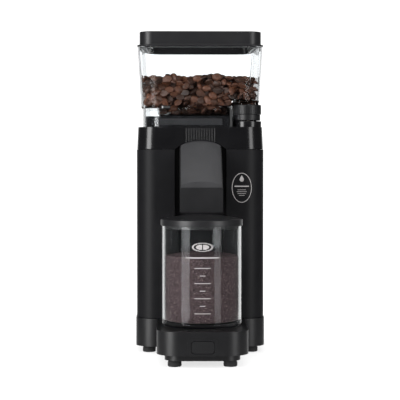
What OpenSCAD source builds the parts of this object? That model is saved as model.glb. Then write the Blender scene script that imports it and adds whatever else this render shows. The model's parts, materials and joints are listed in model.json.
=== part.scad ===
// Burr coffee grinder with a bean hopper above and a ground coffee jar in front.
// X runs to the right, -Y is the front, Z is up, and the feet stand on Z = 0.

/* [Housing] */
// Width of the housing
body_w = 136.6; // [135:0.2:138]
// Y of the housing's front face
body_front = -5; // [-6:1:-4]
// Y of the housing's back face
body_back = 126; // [125:1:128]
// Plan corner radius of the housing
body_r = 21; // [18:1:23]
// Wall thickness of the housing's mouldings
wall = 2.8; // [2.4:0.1:3]
// Width of the channel down the housing's front
channel_w = 54.6; // [52:0.2:56]
// Depth of the channel
channel_d = 8; // [7:0.5:8]

/* [Base and tray] */
// Width of the base at the housing
base_w = 138.4; // [138:0.2:142]
// Height of the base's top face
base_top = 37; // [36:0.5:38]
// Width of the tray that carries the jar
tray_w = 92; // [90:1:96]
// Y of the tray's front face
tray_front = -127.4; // [-130:0.2:-126]
// Plan corner radius of the tray's front
tray_r = 23; // [20:1:26]
// Height of the feet
foot_h = 7; // [5:0.5:7]
// Diameter of a foot
foot_d = 14; // [12:1:15]

/* [Levels] */
// Top of the housing shell
shell_top = 218; // [216:0.5:219]
// Top of the ring and deck
ring_top = 242; // [242:0.5:243]
// Floor of the hopper
hopper_floor = 262; // [261:0.5:263]
// Rim of the hopper
hopper_rim = 328; // [320:1:340]
// Overall height to the top of the lid
total_h = 344.2; // [340:0.2:356]

/* [Hopper] */
// Width of the hopper at its floor
hopper_w_low = 127; // [126:0.2:128]
// Width of the hopper at its rim
hopper_w_top = 134.8; // [132:0.2:135]
// Wall thickness of the hopper
hopper_wall = 2.4; // [2:0.1:3]
// Radius of the round bowl under the floor
bowl_r = 48; // [44:1:48]
// Level of the beans
bean_level = 297; // [290:1:310]

/* [Grind setting] */
// Diameter of the knob
knob_d = 29.6; // [27:0.2:30]
// Teeth on the adjusting ring
ring_teeth = 75; // [75:1:75]
// Teeth on the knob's pinion
knob_teeth = 15; // [15:1:15]

/* [Jar] */
// Outer diameter of the jar
jar_d = 82.2; // [80:0.2:83]
// Y of the jar's axis
jar_y = -65; // [-66:0.5:-64]
// Wall thickness of the jar
jar_wall = 3; // [2:0.5:3.5]
// Level of the ground coffee
grounds_level = 109; // [60:1:120]

/* [Start button] */
// Width of the button
button_w = 22.4; // [20:0.2:24]
// Height of the button
button_h = 12; // [10:0.2:13]
// Travel of the button
button_travel = 2.2; // [1.5:0.1:2.4]

/* [Hidden] */
$fn = 96;
gap = 0.3;

body_mid = (body_front + body_back) / 2;
body_depth = body_back - body_front;
ring_w = body_w - 0.6;
ring_wall = 3;
ring_low = shell_top + 0.4;
base_low = foot_h;
tray_low = 13;
base_front = body_front - 2;
base_depth = body_back + 1 - base_front;
plate_low = 7;
plate_t = 2.4;

burr_y = 60;
motor_y = 91;
bearing_r = 11;
shaft_r = 4;
gearbox_z = 150;
gearbox_t = 4;
chamber_r = 38;
chamber_wall = 3;
chamber_floor = 188;
chamber_top = 230.8;
ring_z = 231;
ring_t = 5.3;
deck_z = 238.5;

// Gear teeth: module and tooth count give the pitch radius
knob_module = 1.5;
drive_module = 1;
drive_teeth = 50;
motor_teeth = 12;
pressure_angle = 25;
knob_reach = knob_module * (ring_teeth + knob_teeth) / 2;
knob_x = 51;
knob_y = burr_y - sqrt(knob_reach * knob_reach - knob_x * knob_x);
knob_dir = atan2(knob_y - burr_y, knob_x);
knob_z = 249;
knob_top = 266;

arch_rise = 10;
arch_r = (pow(channel_w / 2, 2) + arch_rise * arch_rise) / (2 * arch_rise);

// Chute: the cover slopes from the channel's back down to the front of the spout
spout_w = 44.5;
spout_front = -56;
spout_back = -22;
spout_low = 152.5;
spout_top = 179;
chute_top = 229.6;
chute_back = body_front + channel_d;
window_low = 184.2;
chute_slope = atan2(chute_top - spout_top, chute_back - spout_front);
chute_len = sqrt(pow(chute_top - spout_top, 2) + pow(chute_back - spout_front, 2));
cover_w = 42.4;
cover_t = 2.6;
duct_wall = 2.5;

jar_r = jar_d / 2;
jar_low = base_top + 0.2;
jar_top = 143;
jar_lid_r = jar_r + 1.15;
jar_lid_low = 139.7;
jar_lid_top = 151;
plug_low = 136.5;
plug_r = jar_r - jar_wall - 0.5;
inlet_y = -44;
inlet_r = 12;

button_z = 21.5;
button_face = -128;
flange_y = button_face + 3.5;
flange_t = 1.4;
bracket_y = -115.6;
skirt_w = 123.4;
plug_w = 123;
plug_h = 1.2;
skirt_low = ring_top + gap;
recess_r = 17;

post_x = 50;
post_y = [20, 104];

// Flat shapes

module rounded_rect(w, d, r) {
  square([w - 2 * r, d], center = true);
  square([w, d - 2 * r], center = true);
  for (sx = [-1, 1], sy = [-1, 1])
    translate([sx * (w / 2 - r), sy * (d / 2 - r)])
      circle(r);
}

module body_outline(inset = 0) {
  translate([0, body_mid])
    rounded_rect(body_w - 2 * inset, body_depth - 2 * inset, body_r - inset);
}

module ring_outline(inset = 0) {
  translate([0, body_mid])
    rounded_rect(ring_w - 2 * inset, body_depth - 0.6 - 2 * inset, body_r - inset);
}

module base_outline(inset = 0) {
  translate([0, base_front + base_depth / 2])
    rounded_rect(base_w - 2 * inset, base_depth - 2 * inset, body_r + 1 - inset);
}

module tray_outline(inset = 0) {
  depth = base_depth + 40;
  difference() {
    translate([0, tray_front + depth / 2])
      rounded_rect(tray_w - 2 * inset, depth - 2 * inset, tray_r - inset);
    translate([-tray_w, body_front + body_r])
      square([2 * tray_w, base_depth]);
  }
}

module channel_outline(extra = 0) {
  translate([-channel_w / 2 - extra, body_front - channel_d])
    square([channel_w + 2 * extra, 2 * channel_d + extra]);
}

// Involute of a circle: the polar angle grows by inv(a) as the pressure angle a grows
function inv(a) = tan(a) * 180 / PI - a;

function tooth_half_angle(r, rb, half_pitch) =
  r <= rb ? half_pitch + inv(pressure_angle)
          : half_pitch + inv(pressure_angle) - inv(acos(rb / r));

function polar(r, a) = [r * cos(a), r * sin(a)];

module gear_outline(teeth, m, backlash) {
  rp = m * teeth / 2;
  rb = rp * cos(pressure_angle);
  root = rp - 1.05 * m;
  tip = rp + 0.8 * m;
  half_pitch = 90 / teeth - backlash / rp * 90 / PI;
  steps = 4;
  first = max(rb, root);
  radii = [for (i = [0:steps]) first + (tip - first) * i / steps];
  flank = concat(root < first ? [root] : [], radii);
  last = len(flank) - 1;
  polygon([
    for (t = [0:teeth - 1], i = [0:2 * last + 1])
      let (k = i <= last ? i : 2 * last + 1 - i, side = i <= last ? -1 : 1)
      polar(flank[k], t * 360 / teeth + side * tooth_half_angle(flank[k], rb, half_pitch))
  ]);
}

module tube(r_out, r_in, h) {
  difference() {
    cylinder(r = r_out, h = h);
    translate([0, 0, -1])
      cylinder(r = r_in, h = h + 2);
  }
}

module at_posts() {
  for (sx = [-1, 1], y = post_y)
    translate([sx * post_x, y, 0])
      children();
}

// Positions of the feet: two under the tray and four under the housing
module at_front_feet() {
  for (sx = [-1, 1])
    translate([sx * 28, -105, 0])
      children();
}

module at_rear_feet() {
  for (sx = [-1, 1], y = [10, 112])
    translate([sx * 55, y, 0])
      children();
}

module at_bottom_screws() {
  for (sx = [-1, 1], y = [-82, 26, 98])
    translate([sx * (y < 0 ? 26 : 56), y, 0])
      children();
}

// Base and tray

module base() {
  color("#1f1f21")
  difference() {
    union() {
      difference() {
        union() {
          translate([0, 0, base_low])
            linear_extrude(base_top - base_low)
              base_outline();
          translate([0, 0, tray_low])
            linear_extrude(base_top - tray_low)
              tray_outline();
          translate([0, 0, base_low])
            linear_extrude(tray_low - base_low + 1)
              tray_outline(8);
        }
        translate([0, 0, base_low - 1])
          linear_extrude(base_top - wall - base_low + 1)
            base_outline(wall);
        translate([0, 0, tray_low + wall])
          linear_extrude(base_top - tray_low - 2 * wall)
            tray_outline(wall);
        translate([0, 0, base_low - 1])
          linear_extrude(tray_low + wall - base_low + 2)
            tray_outline(8 + wall);
      }
      at_bottom_screws()
        translate([0, 0, plate_low + plate_t])
          cylinder(r = 3.6, h = base_top - plate_low - plate_t - 1);
    }
    at_bottom_screws()
      translate([0, 0, plate_low])
        cylinder(r = 1.3, h = 14);
    from_front(tray_front - 5)
      linear_extrude(flange_y + button_travel + 0.5 - tray_front + 5)
        rounded_rect(button_w + 0.8, button_h + 0.8, 3.2);
    translate([0, body_back - 10, 22])
      rotate([-90, 0, 0])
        cylinder(r = 7, h = 20);
    translate([-30, 30, base_top - wall - 1])
      cylinder(r = 9, h = wall + 2);
  }
}

module bottom_plate() {
  color("#232325")
  difference() {
    translate([0, 0, plate_low])
      linear_extrude(plate_t)
        union() {
          base_outline(wall + 0.2);
          tray_outline(8 + wall + 0.2);
        }
    at_bottom_screws()
      translate([0, 0, plate_low - 1])
        cylinder(r = 1.7, h = plate_t + 2);
    at_front_feet()
      translate([0, 0, plate_low - 1])
        cylinder(r = 3, h = plate_t + 2);
    at_rear_feet()
      translate([0, 0, plate_low - 1])
        cylinder(r = 3, h = plate_t + 2);
    for (y = [40:8:88])
      translate([-22, y, plate_low - 1])
        cube([44, 3, plate_t + 2]);
  }
}

module foot() {
  cylinder(r = foot_d / 2 - 1, h = 1.5);
  translate([0, 0, 1.5])
    cylinder(r = foot_d / 2, h = foot_h - 1.5);
  cylinder(r = 2.9, h = plate_low + plate_t + 0.5);
  translate([0, 0, plate_low + plate_t])
    cylinder(r = 4, h = 2);
}

module front_feet() {
  color("#151516")
  at_front_feet()
    foot();
}

module rear_feet() {
  color("#151516")
  at_rear_feet()
    foot();
}

module bottom_screws() {
  color("#8c8c90")
  at_bottom_screws() {
    translate([0, 0, plate_low - 1.5])
      cylinder(r = 2.8, h = 1.5);
    translate([0, 0, plate_low - 0.5])
      cylinder(r = 1.25, h = 12);
  }
}

module cord_gland() {
  color("#161617")
  translate([0, base_front + base_depth, 22])
    rotate([-90, 0, 0])
      difference() {
        union() {
          translate([0, 0, -6])
            cylinder(r = 6.9, h = 6);
          cylinder(r = 9, h = 1);
          translate([0, 0, -6])
            cylinder(r = 9, h = 3);
        }
        translate([0, 0, -8])
          cylinder(r = 3.6, h = 12);
      }
}

// Housing

module body_shell() {
  color("#262627")
  difference() {
    union() {
      translate([0, 0, base_top])
        linear_extrude(shell_top - base_top)
          difference() {
            body_outline();
            difference() {
              body_outline(wall);
              channel_outline(wall);
            }
            channel_outline();
          }
      translate([-channel_w / 2 - wall, chute_back, shell_top - 1])
        cube([channel_w + 2 * wall, wall, 12]);
    }
    translate([-spout_w / 2 - gap, chute_back - 1, window_low])
      cube([spout_w + 2 * gap, wall + 2, chute_top - window_low + gap]);
    for (z = [58:6:106])
      translate([-26, body_back - wall - 1, z])
        cube([52, wall + 2, 2.6]);
  }
}

module top_ring() {
  rib_n = 12;
  rib_pitch = 2.75;
  color("#1d1d1f")
  difference() {
    union() {
      translate([0, 0, ring_low])
        linear_extrude(ring_top - ring_low)
          difference() {
            ring_outline();
            ring_outline(ring_wall);
          }
      translate([0, 0, deck_z - 1.7])
        linear_extrude(1.7)
          difference() {
            ring_outline(ring_wall - 0.5);
            ring_outline(ring_wall + 3);
            translate([knob_x, knob_y])
              circle(14);
          }
      at_deck_screws()
        translate([0, 0, deck_z - 7])
          difference() {
            union() {
              cylinder(r = 4, h = 7);
              translate([0, -2.5, 0])
                cube([15, 5, 7]);
            }
            translate([0, 0, -1])
              cylinder(r = 1.5, h = 9);
          }
      for (i = [0:rib_n - 1])
        translate([(i - (rib_n - 1) / 2) * rib_pitch - 0.7, body_front - 0.4, 224])
          cube([1.4, 1.4, ring_top - 224 - 0.6]);
    }
    arch_hole();
  }
}

// The arch in the ring's front, made smaller by inset for what passes through it
module arch_hole(inset = 0) {
  translate([0, body_front + 8, shell_top + arch_rise - arch_r])
    rotate([90, 0, 0])
      cylinder(r = arch_r - inset, h = 20);
}

module top_deck() {
  color("#1b1b1d")
  difference() {
    translate([0, 0, deck_z])
      linear_extrude(ring_top - deck_z)
        ring_outline(ring_wall + 0.1);
    translate([0, burr_y, deck_z - 1])
      cylinder(r = 24.5, h = 6);
    translate([knob_x, knob_y, deck_z - 1])
      cylinder(r = 5.5, h = 6);
    at_deck_screws()
      translate([0, 0, deck_z - 1])
        cylinder(r = 1.7, h = 6);
  }
}

// Three deck screws, each turned to point at its corner of the ring
module at_deck_screws() {
  for (place = [[50, 108, 45], [-50, 108, 135], [-50, 12, 225]])
    translate([place[0], place[1], 0])
      rotate(place[2])
        children();
}

module deck_screws() {
  color("#6d6d70")
  at_deck_screws() {
    difference() {
      translate([0, 0, ring_top])
        cylinder(r = 3, h = 1.6);
      translate([-2, -0.4, ring_top + 0.8])
        cube([4, 0.8, 2]);
    }
    translate([0, 0, ring_top - 7])
      cylinder(r = 1.5, h = 7.5);
  }
}

// Square seat that the hopper's skirt slips over, bored for its round bowl
module hopper_collar() {
  collar_h = 11.6;
  bore_r = bowl_r - 2;
  color("#171718")
  difference() {
    translate([0, 0, ring_top])
      linear_extrude(collar_h)
        hopper_outline(skirt_w - 2 * hopper_wall - 0.8, 0, 20);
    translate([0, burr_y, ring_top - 1])
      cylinder(r = bore_r, h = collar_h + 2);
    knob_space(hopper_wall + 0.5);
    at_deck_screws()
      translate([0, 0, ring_top - 1])
        cylinder(r = 3.8, h = collar_h + 2);
  }
}

module knob_plinth() {
  color("#1c1c1e")
  translate([knob_x, knob_y, ring_top])
    tube(15, 5.5, 6.4);
}

module badge() {
  color("#d8d8d8")
  translate([44, body_front, 177])
    rotate([90, 0, 0])
      linear_extrude(0.3)
        difference() {
          union() {
            translate([0, 5.3])
              circle(10.6);
            translate([0, -5.3])
              circle(10.6);
            square([21.2, 10.6], center = true);
          }
          union() {
            translate([0, 5.3])
              circle(9.5);
            translate([0, -5.3])
              circle(9.5);
            square([19, 10.6], center = true);
          }
        }
}

// Chute: side outlines are drawn with Y to the right and Z up

module duct_outline() {
  polygon([
    [24, 221], [chute_back - 6, 221], [spout_front + duct_wall, spout_top - 1.4],
    [spout_front, spout_top - 1.4], [spout_front, spout_low], [spout_back, spout_low],
    [spout_back, 163], [8, 189], [24, 189]
  ]);
}

module duct_inside() {
  polygon([
    [26, 218.5], [chute_back - 5.2, 218.5], [spout_front + duct_wall, 172.8],
    [spout_front + duct_wall, spout_low - 1], [spout_back - duct_wall, spout_low - 1],
    [spout_back - duct_wall, 164.2], [7, 191.5], [26, 191.5]
  ]);
}

module side_extrude(w) {
  translate([-w / 2, 0, 0])
    rotate([90, 0, 90])
      linear_extrude(w)
        children();
}

module spout() {
  color("#2b2b2d")
  difference() {
    side_extrude(spout_w)
      duct_outline();
    side_extrude(spout_w - 2 * duct_wall)
      duct_inside();
    translate([0, burr_y, 180])
      cylinder(r = chamber_r + chamber_wall + 0.1, h = 50);
  }
}

module chute_cover() {
  crown_r = 90;
  color("#4a4a4c")
  difference() {
    sloped_cover(crown_r);
    difference() {
      translate([-cover_w, body_front - 1, ring_low - 2])
        cube([2 * cover_w, ring_wall + 2, 20]);
      arch_hole(gap);
    }
  }
}

// Crowned plate laid along the chute's slope, cut off flat at both ends
module sloped_cover(crown_r) {
  intersection() {
    translate([0, chute_back, chute_top])
      rotate([chute_slope + 90, 0, 0])
        translate([0, 0, -1])
          linear_extrude(chute_len + 4)
            difference() {
              translate([0, -crown_r + 2.4])
                circle(crown_r, $fn = 200);
              translate([-100, -200 - cover_t])
                square([200, 200]);
              for (sx = [-1, 1])
                translate([sx * (cover_w / 2 + 50), 0])
                  square([100, 200], center = true);
            }
    translate([-50, spout_front + duct_wall + 0.1, 150])
      cube([100, chute_back - spout_front - duct_wall - 0.2, chamber_top - 150.4]);
  }
}

// Frame and grinding chamber

module frame_posts() {
  color("#8f9194")
  at_posts()
    translate([0, 0, base_top])
      cylinder(r = 4, h = gearbox_z - base_top);
}

module gearbox_plate() {
  color("#a0a2a5")
  difference() {
    union() {
      translate([0, (post_y[0] + post_y[1]) / 2, gearbox_z])
        linear_extrude(gearbox_t)
          rounded_rect(116, 98, 10);
      translate([0, burr_y, gearbox_z - 9])
        cylinder(r = bearing_r + 2.6, h = 10);
    }
    translate([0, burr_y, gearbox_z - 7])
      cylinder(r = bearing_r, h = 20);
    translate([0, burr_y, gearbox_z - 20])
      cylinder(r = 7, h = 30);
    translate([0, motor_y, gearbox_z - 1])
      cylinder(r = 8, h = gearbox_t + 2);
  }
}

module at_pillars() {
  for (a = [30, 150, 270])
    translate([36 * cos(a), burr_y + 36 * sin(a), 0])
      children();
}

module chamber_pillars() {
  color("#8f9194")
  at_pillars()
    translate([0, 0, gearbox_z + gearbox_t])
      cylinder(r = 3.5, h = chamber_floor - gearbox_z - gearbox_t);
}

module grinding_chamber() {
  color("#9b9da0")
  difference() {
    union() {
      translate([0, burr_y, chamber_floor])
        cylinder(r = chamber_r + chamber_wall, h = chamber_top - chamber_floor);
      translate([0, burr_y, chamber_top - 3])
        cylinder(r = 50, h = 3);
      translate([0, burr_y, chamber_floor - 14])
        cylinder(r = bearing_r + 3, h = 15);
    }
    translate([0, burr_y, chamber_floor + 3])
      cylinder(r = chamber_r, h = 60);
    translate([0, burr_y, chamber_floor - 15])
      cylinder(r = bearing_r, h = 11);
    translate([0, burr_y, chamber_floor - 20])
      cylinder(r = shaft_r + 0.8, h = 40);
    translate([-spout_w / 2 + duct_wall, burr_y - 60, 191.5])
      cube([spout_w - 2 * duct_wall, 60, 27]);
  }
}

// Motor

module motor_can() {
  color("#7d7f82")
  translate([0, motor_y, 52])
    tube(30, 28.4, 80);
}

module motor_stator() {
  color("#5b5048")
  translate([0, motor_y, 60])
    tube(28.3, 23.4, 64);
}

module bell(flip) {
  difference() {
    union() {
      cylinder(r = 30, h = 5);
      translate([0, 0, flip ? -6 : 4])
        cylinder(r = 12, h = 7);
    }
    translate([0, 0, -20])
      cylinder(r = 6, h = 60);
    translate([0, 0, flip ? -7 : 2])
      cylinder(r = 9.5, h = 10);
  }
}

module motor_lower_bell() {
  color("#9b9da0")
  translate([0, motor_y, 47])
    bell(false);
}

module motor_upper_bell() {
  color("#9b9da0")
  translate([0, motor_y, 132])
    bell(true);
}

module motor_bearings() {
  color("#b9bbbe")
  for (z = [50, 128])
    translate([0, motor_y, z])
      tube(9.45, shaft_r + 0.05, 6);
}

module motor_mounts() {
  color("#101011")
  for (a = [45:90:315])
    translate([23 * cos(a), motor_y + 23 * sin(a), base_top])
      cylinder(r = 5, h = 10);
}

module motor_rotor() {
  color("#8a5a3a")
  translate([0, motor_y, 0]) {
    translate([0, 0, 64])
      cylinder(r = 22.8, h = 56);
    translate([0, 0, 48])
      cylinder(r = shaft_r, h = 120);
  }
}

module motor_pinion() {
  color("#c9a24b")
  translate([0, motor_y, 157])
    linear_extrude(9)
      difference() {
        rotate(90 + 180 / motor_teeth)
          gear_outline(motor_teeth, drive_module, 0.12);
        circle(shaft_r);
      }
}

// Burr drive

module bearing(r_out, h) {
  tube(r_out, shaft_r + 0.05, h);
}

module lower_shaft_bearing() {
  color("#b9bbbe")
  translate([0, burr_y, gearbox_z - 7])
    bearing(bearing_r - 0.05, 8);
}

module upper_shaft_bearing() {
  color("#b9bbbe")
  translate([0, burr_y, chamber_floor - 12])
    bearing(bearing_r - 0.05, 8);
}

module burr_shaft() {
  color("#c2c4c7")
  translate([0, burr_y, gearbox_z - 8])
    cylinder(r = shaft_r, h = 88);
}

module large_gear() {
  color("#e0dccf")
  translate([0, burr_y, 157]) {
    linear_extrude(8)
      difference() {
        rotate(90)
          gear_outline(drive_teeth, drive_module, 0.12);
        circle(shaft_r);
        for (a = [0:60:300])
          rotate(a)
            translate([15, 0])
              circle(4.5);
      }
    translate([0, 0, 8])
      tube(8, shaft_r, 5);
  }
}

module sweeper_disc() {
  color("#d9d2c4")
  translate([0, burr_y, 192]) {
    tube(31, shaft_r, 3);
    for (a = [0:90:270])
      rotate(a)
        translate([29, -1.5, 0])
          cube([8, 3, 6]);
  }
}

module cone_burr() {
  flutes = 10;
  color("#b5b7ba")
  translate([0, burr_y, 195])
    difference() {
      rotate_extrude()
        polygon([[shaft_r, 0], [24, 0], [24, 5], [10, 27], [shaft_r, 27]]);
      for (i = [0:flutes - 1])
        rotate(i * 360 / flutes)
          translate([17.5, 0, 16.5])
            rotate([0, -32.5, 0])
              rotate([12, 0, 0])
                cube([5, 2, 40], center = true);
    }
}

module burr_nut() {
  color("#a9abae")
  translate([0, burr_y, 222])
    difference() {
      cylinder(r = 7, h = 5, $fn = 6);
      translate([0, 0, -1])
        cylinder(r = shaft_r, h = 7);
    }
}

module ring_burr() {
  notches = 16;
  color("#aeb0b3")
  translate([0, burr_y, 200.5])
    difference() {
      rotate_extrude()
        polygon([[24.8, 0], [33, 0], [33, 15], [17.5, 15]]);
      for (i = [0:notches - 1])
        rotate(i * 360 / notches)
          translate([19, 0, 7])
            rotate([0, -26, 0])
              cube([5, 1.6, 30], center = true);
    }
}

module burr_carrier() {
  color("#c9c6bd")
  translate([0, burr_y, 0])
    rotate_extrude()
      polygon([
        [33, 200.5], [chamber_r - 0.08, 200.5], [chamber_r - 0.08, 231.3],
        [44.4, 231.3], [44.4, 236], [25.5, 236], [25.5, 222], [18.5, 215.5], [33, 215.5]
      ]);
}

module adjusting_ring() {
  color("#d6cfae")
  translate([0, burr_y, ring_z])
    difference() {
      linear_extrude(ring_t)
        rotate(knob_dir)
          gear_outline(ring_teeth, knob_module, 0.25);
      translate([0, 0, -1])
        cylinder(r = 44.48, h = ring_t + 2);
    }
}

// Grind knob

module knob_shaft() {
  color("#d6cfae")
  translate([knob_x, knob_y, 0]) {
    translate([0, 0, ring_z])
      linear_extrude(ring_t)
        rotate(knob_dir + 180 + 180 / knob_teeth)
          gear_outline(knob_teeth, knob_module, 0.25);
    translate([0, 0, ring_z])
      cylinder(r = 3, h = knob_top - 6 - ring_z);
  }
}

module knob_bush() {
  color("#b58a3e")
  translate([knob_x, knob_y, deck_z - 1.4])
    tube(5.45, 3.05, 10);
}

module knob() {
  grips = 36;
  color("#202022")
  translate([knob_x, knob_y, 0])
    difference() {
      union() {
        translate([0, 0, knob_z])
          cylinder(r = knob_d / 2 - 0.9, h = 7);
        translate([0, 0, knob_z + 6.6])
          cylinder(r = knob_d / 2, h = knob_top - knob_z - 6.6);
      }
      translate([0, 0, knob_z - 1])
        cylinder(r = 3, h = knob_top - knob_z - 5);
      for (i = [0:grips - 1])
        rotate(i * 360 / grips)
          translate([knob_d / 2 + 0.3, 0, knob_z + 7.6])
            cylinder(r = 0.7, h = 20);
    }
}

// Electrics

module control_board() {
  wall_x = body_w / 2 - wall - 0.1;
  color("#2e6b45") {
    translate([-62, 40, 62])
      cube([1.6, 66, 76]);
    for (y = [46, 100], z = [68, 132])
      translate([-wall_x, y, z])
        rotate([0, 90, 0])
          cylinder(r = 2.5, h = wall_x - 61.9);
    for (z = [72, 88, 104])
      translate([-60.5, 48, z])
        cube([7, 12, 9]);
    translate([-60.5, 70, 112])
      cube([12, 22, 16]);
  }
}

module capacitor() {
  color("#3a5fa0")
  translate([-60.4, 82, 84])
    rotate([0, 90, 0])
      cylinder(r = 8, h = 22);
}

module hopper_switch() {
  color("#2a2a2c")
  translate([34, 112, deck_z - 12])
    cube([10, 6, 12]);
}

// Start button, drawn looking along the axis that it moves on

module from_front(y) {
  translate([0, y, button_z])
    rotate([-90, 0, 0])
      children();
}

module start_button() {
  color("#242426") {
    from_front(button_face)
      linear_extrude(flange_y - button_face)
        rounded_rect(button_w, button_h, 3);
    from_front(flange_y)
      linear_extrude(flange_t)
        rounded_rect(button_w + 5, button_h - 1.4, 3);
    from_front(flange_y + flange_t)
      cylinder(r = 2.4, h = 10.5);
  }
}

module button_bezel() {
  color("#19191b")
  from_front(tray_front - 0.3)
    linear_extrude(0.3)
      difference() {
        rounded_rect(31.4, 17.6, 4);
        rounded_rect(button_w + 0.8, button_h + 0.8, 3.2);
      }
}

module button_spring() {
  turns = 5;
  wire = 0.45;
  coil_r = 3.6;
  spring_y = flange_y + flange_t + 0.1;
  free_length = bracket_y - spring_y - 0.1;
  color("#c9cbce")
  from_front(spring_y)
    for (t = [0:turns - 1])
      translate([0, 0, wire + t * (free_length - 2 * wire) / (turns - 1)])
        rotate_extrude()
          translate([coil_r, 0])
            circle(wire, $fn = 24);
}

module switch_bracket() {
  color("#8f9194")
  difference() {
    union() {
      translate([-14, bracket_y, plate_low + plate_t])
        cube([28, 1.6, 22]);
      translate([-14, bracket_y, plate_low + plate_t])
        cube([28, 16, 1.6]);
    }
    from_front(-120)
      cylinder(r = 3.2, h = 10);
  }
}

module start_switch() {
  color("#1a1a1c")
  translate([-10, -108.6, 12]) {
    difference() {
      cube([20, 9, 16]);
      translate([10, -1, button_z - 12])
        rotate([-90, 0, 0])
          cylinder(r = 1.9, h = 6);
    }
    for (x = [3, 9, 15])
      translate([x, 8.5, 5])
        cube([2, 5, 1]);
  }
}

module switch_plunger() {
  color("#b03a2e")
  from_front(-112.5)
    cylinder(r = 1.8, h = 5.6);
}

// Hopper

module hopper_outline(w, inset = 0, r = 22) {
  translate([0, body_mid])
    rounded_rect(w - 2 * inset, w - 2.6 - 2 * inset, r - inset);
}

module tapered_box(inset, low, high) {
  w_low = hopper_w_low;
  grow = (hopper_w_top - 2 * inset) / (w_low - 2 * inset);
  translate([0, body_mid, low])
    linear_extrude(high - low, scale = grow)
      translate([0, -body_mid])
        hopper_outline(w_low, inset, $fn = 64);
}

// Space left around the knob, open to the front and to the right
module knob_space(grow) {
  r = recess_r + grow;
  top = knob_top + 2.4 + grow;
  translate([knob_x, knob_y, ring_top - 10])
    cylinder(r = r, h = top - ring_top + 10);
  translate([knob_x, knob_y - r, ring_top - 10])
    cube([60, 2 * r, top - ring_top + 10]);
  translate([knob_x - r, knob_y - 60, ring_top - 10])
    cube([60 + r, 60, top - ring_top + 10]);
}

module hopper() {
  t = hopper_wall;
  color([0.86, 0.89, 0.91, 0.35]) {
    difference() {
      tapered_box(0, hopper_floor, hopper_rim);
      difference() {
        union() {
          translate([0, 0, t])
            tapered_box(t, hopper_floor, hopper_rim);
          translate([0, 0, hopper_rim - 3])
            linear_extrude(10)
              hopper_outline(hopper_w_top, t + 0.1);
        }
        knob_space(t);
      }
      knob_space(0);
      translate([0, burr_y, hopper_floor - 5])
        cylinder(r = bowl_r - t, h = 20);
    }
    translate([0, burr_y, 0])
      rotate_extrude()
        bowl_outline();
  }
}

// Wall of the round bowl: its outer side from the neck up, then its inner side down
module bowl_outline() {
  t = hopper_wall;
  knee = bowl_r - 10;
  drop = 9.2;
  neck = 22;
  neck_low = ring_top - 5.4;
  polygon(concat(
    [[neck, neck_low], [neck, 250], [30, 251.6]],
    [for (a = [0:15:90]) [knee + (bowl_r - knee) * sin(a), hopper_floor - drop * cos(a)]],
    [[bowl_r, hopper_floor + 2.2], [bowl_r - t, hopper_floor + 2.2]],
    [for (a = [90:-15:0]) [knee + (bowl_r - knee - t) * sin(a), hopper_floor - (drop - t) * cos(a)]],
    [[30, 254.2], [24, 253], [neck - 2.2, 251.5], [neck - 2.2, neck_low]]
  ));
}

// Clear skirt bonded under the hopper's floor, notched for the knob
module hopper_skirt() {
  t = hopper_wall;
  color([0.86, 0.89, 0.91, 0.35])
  difference() {
    translate([0, 0, skirt_low])
      linear_extrude(hopper_floor - skirt_low)
        hopper_outline(skirt_w);
    difference() {
      translate([0, 0, skirt_low - 1])
        linear_extrude(hopper_floor - skirt_low + 2)
          hopper_outline(skirt_w, t);
      knob_space(t);
    }
    knob_space(0);
  }
}

module coffee_beans() {
  color("#4a3226")
  difference() {
    union() {
      translate([0, 0, hopper_floor + hopper_wall + gap])
        linear_extrude(bean_level - hopper_floor - hopper_wall - gap)
          hopper_outline(hopper_w_low, hopper_wall + 0.8);
      translate([0, burr_y, 256])
        cylinder(r = 40, h = 10);
    }
    knob_space(hopper_wall + gap);
  }
}

module hopper_lid() {
  flange_z = hopper_rim + gap;
  flange_corner = 17;
  block_w = 130.4;
  block_corner = 13;
  lid_wall = 3;
  color("#1e1e20")
  difference() {
    union() {
      translate([0, 0, flange_z])
        linear_extrude(1.6)
          hopper_outline(hopper_w_top + 0.8, 0, flange_corner);
      translate([0, 0, flange_z + 1])
        linear_extrude(total_h - flange_z - 2)
          hopper_outline(block_w, 0, block_corner);
      translate([0, 0, total_h - 2])
        linear_extrude(2)
          hopper_outline(block_w, 0.8, block_corner);
      translate([0, 0, flange_z - plug_h])
        linear_extrude(plug_h + 1)
          hopper_outline(plug_w);
    }
    translate([0, 0, total_h - 0.6])
      linear_extrude(1)
        hopper_outline(plug_w, 0, 10);
    translate([0, 0, flange_z - plug_h - 1])
      linear_extrude(total_h - flange_z + plug_h + 1 - lid_wall)
        hopper_outline(plug_w, lid_wall);
  }
}

module lid_seal() {
  color("#9a9a9c")
  translate([0, 0, hopper_rim + gap - plug_h])
    linear_extrude(plug_h - 0.4)
      difference() {
        hopper_outline(plug_w + 2.6);
        hopper_outline(plug_w);
      }
}

// Jar

module jar() {
  corner = 3.5;
  floor_t = 4;
  color([0.9, 0.92, 0.93, 0.35])
  translate([0, jar_y, jar_low])
    rotate_extrude()
      difference() {
        union() {
          square([jar_r - corner, jar_top - jar_low]);
          translate([0, corner])
            square([jar_r, jar_top - jar_low - corner]);
          translate([jar_r - corner, corner])
            circle(corner);
        }
        translate([-2 * jar_r, -1])
          square([2 * jar_r, 200]);
        translate([-1, floor_t])
          square([jar_r - jar_wall + 1, 200]);
      }
}

module jar_marks() {
  pitch = 15.2;
  color("#f2f2f2")
  for (i = [0:6]) {
    z = 52.8 + i * pitch / 2;
    half = i % 2 == 0 ? 11.5 : 3.9;
    translate([0, jar_y, z - 0.6])
      rotate([0, 0, -90 - half])
        rotate_extrude(angle = 2 * half)
          translate([jar_r + 0.02, 0])
            square([0.2, 1.2]);
  }
}

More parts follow.
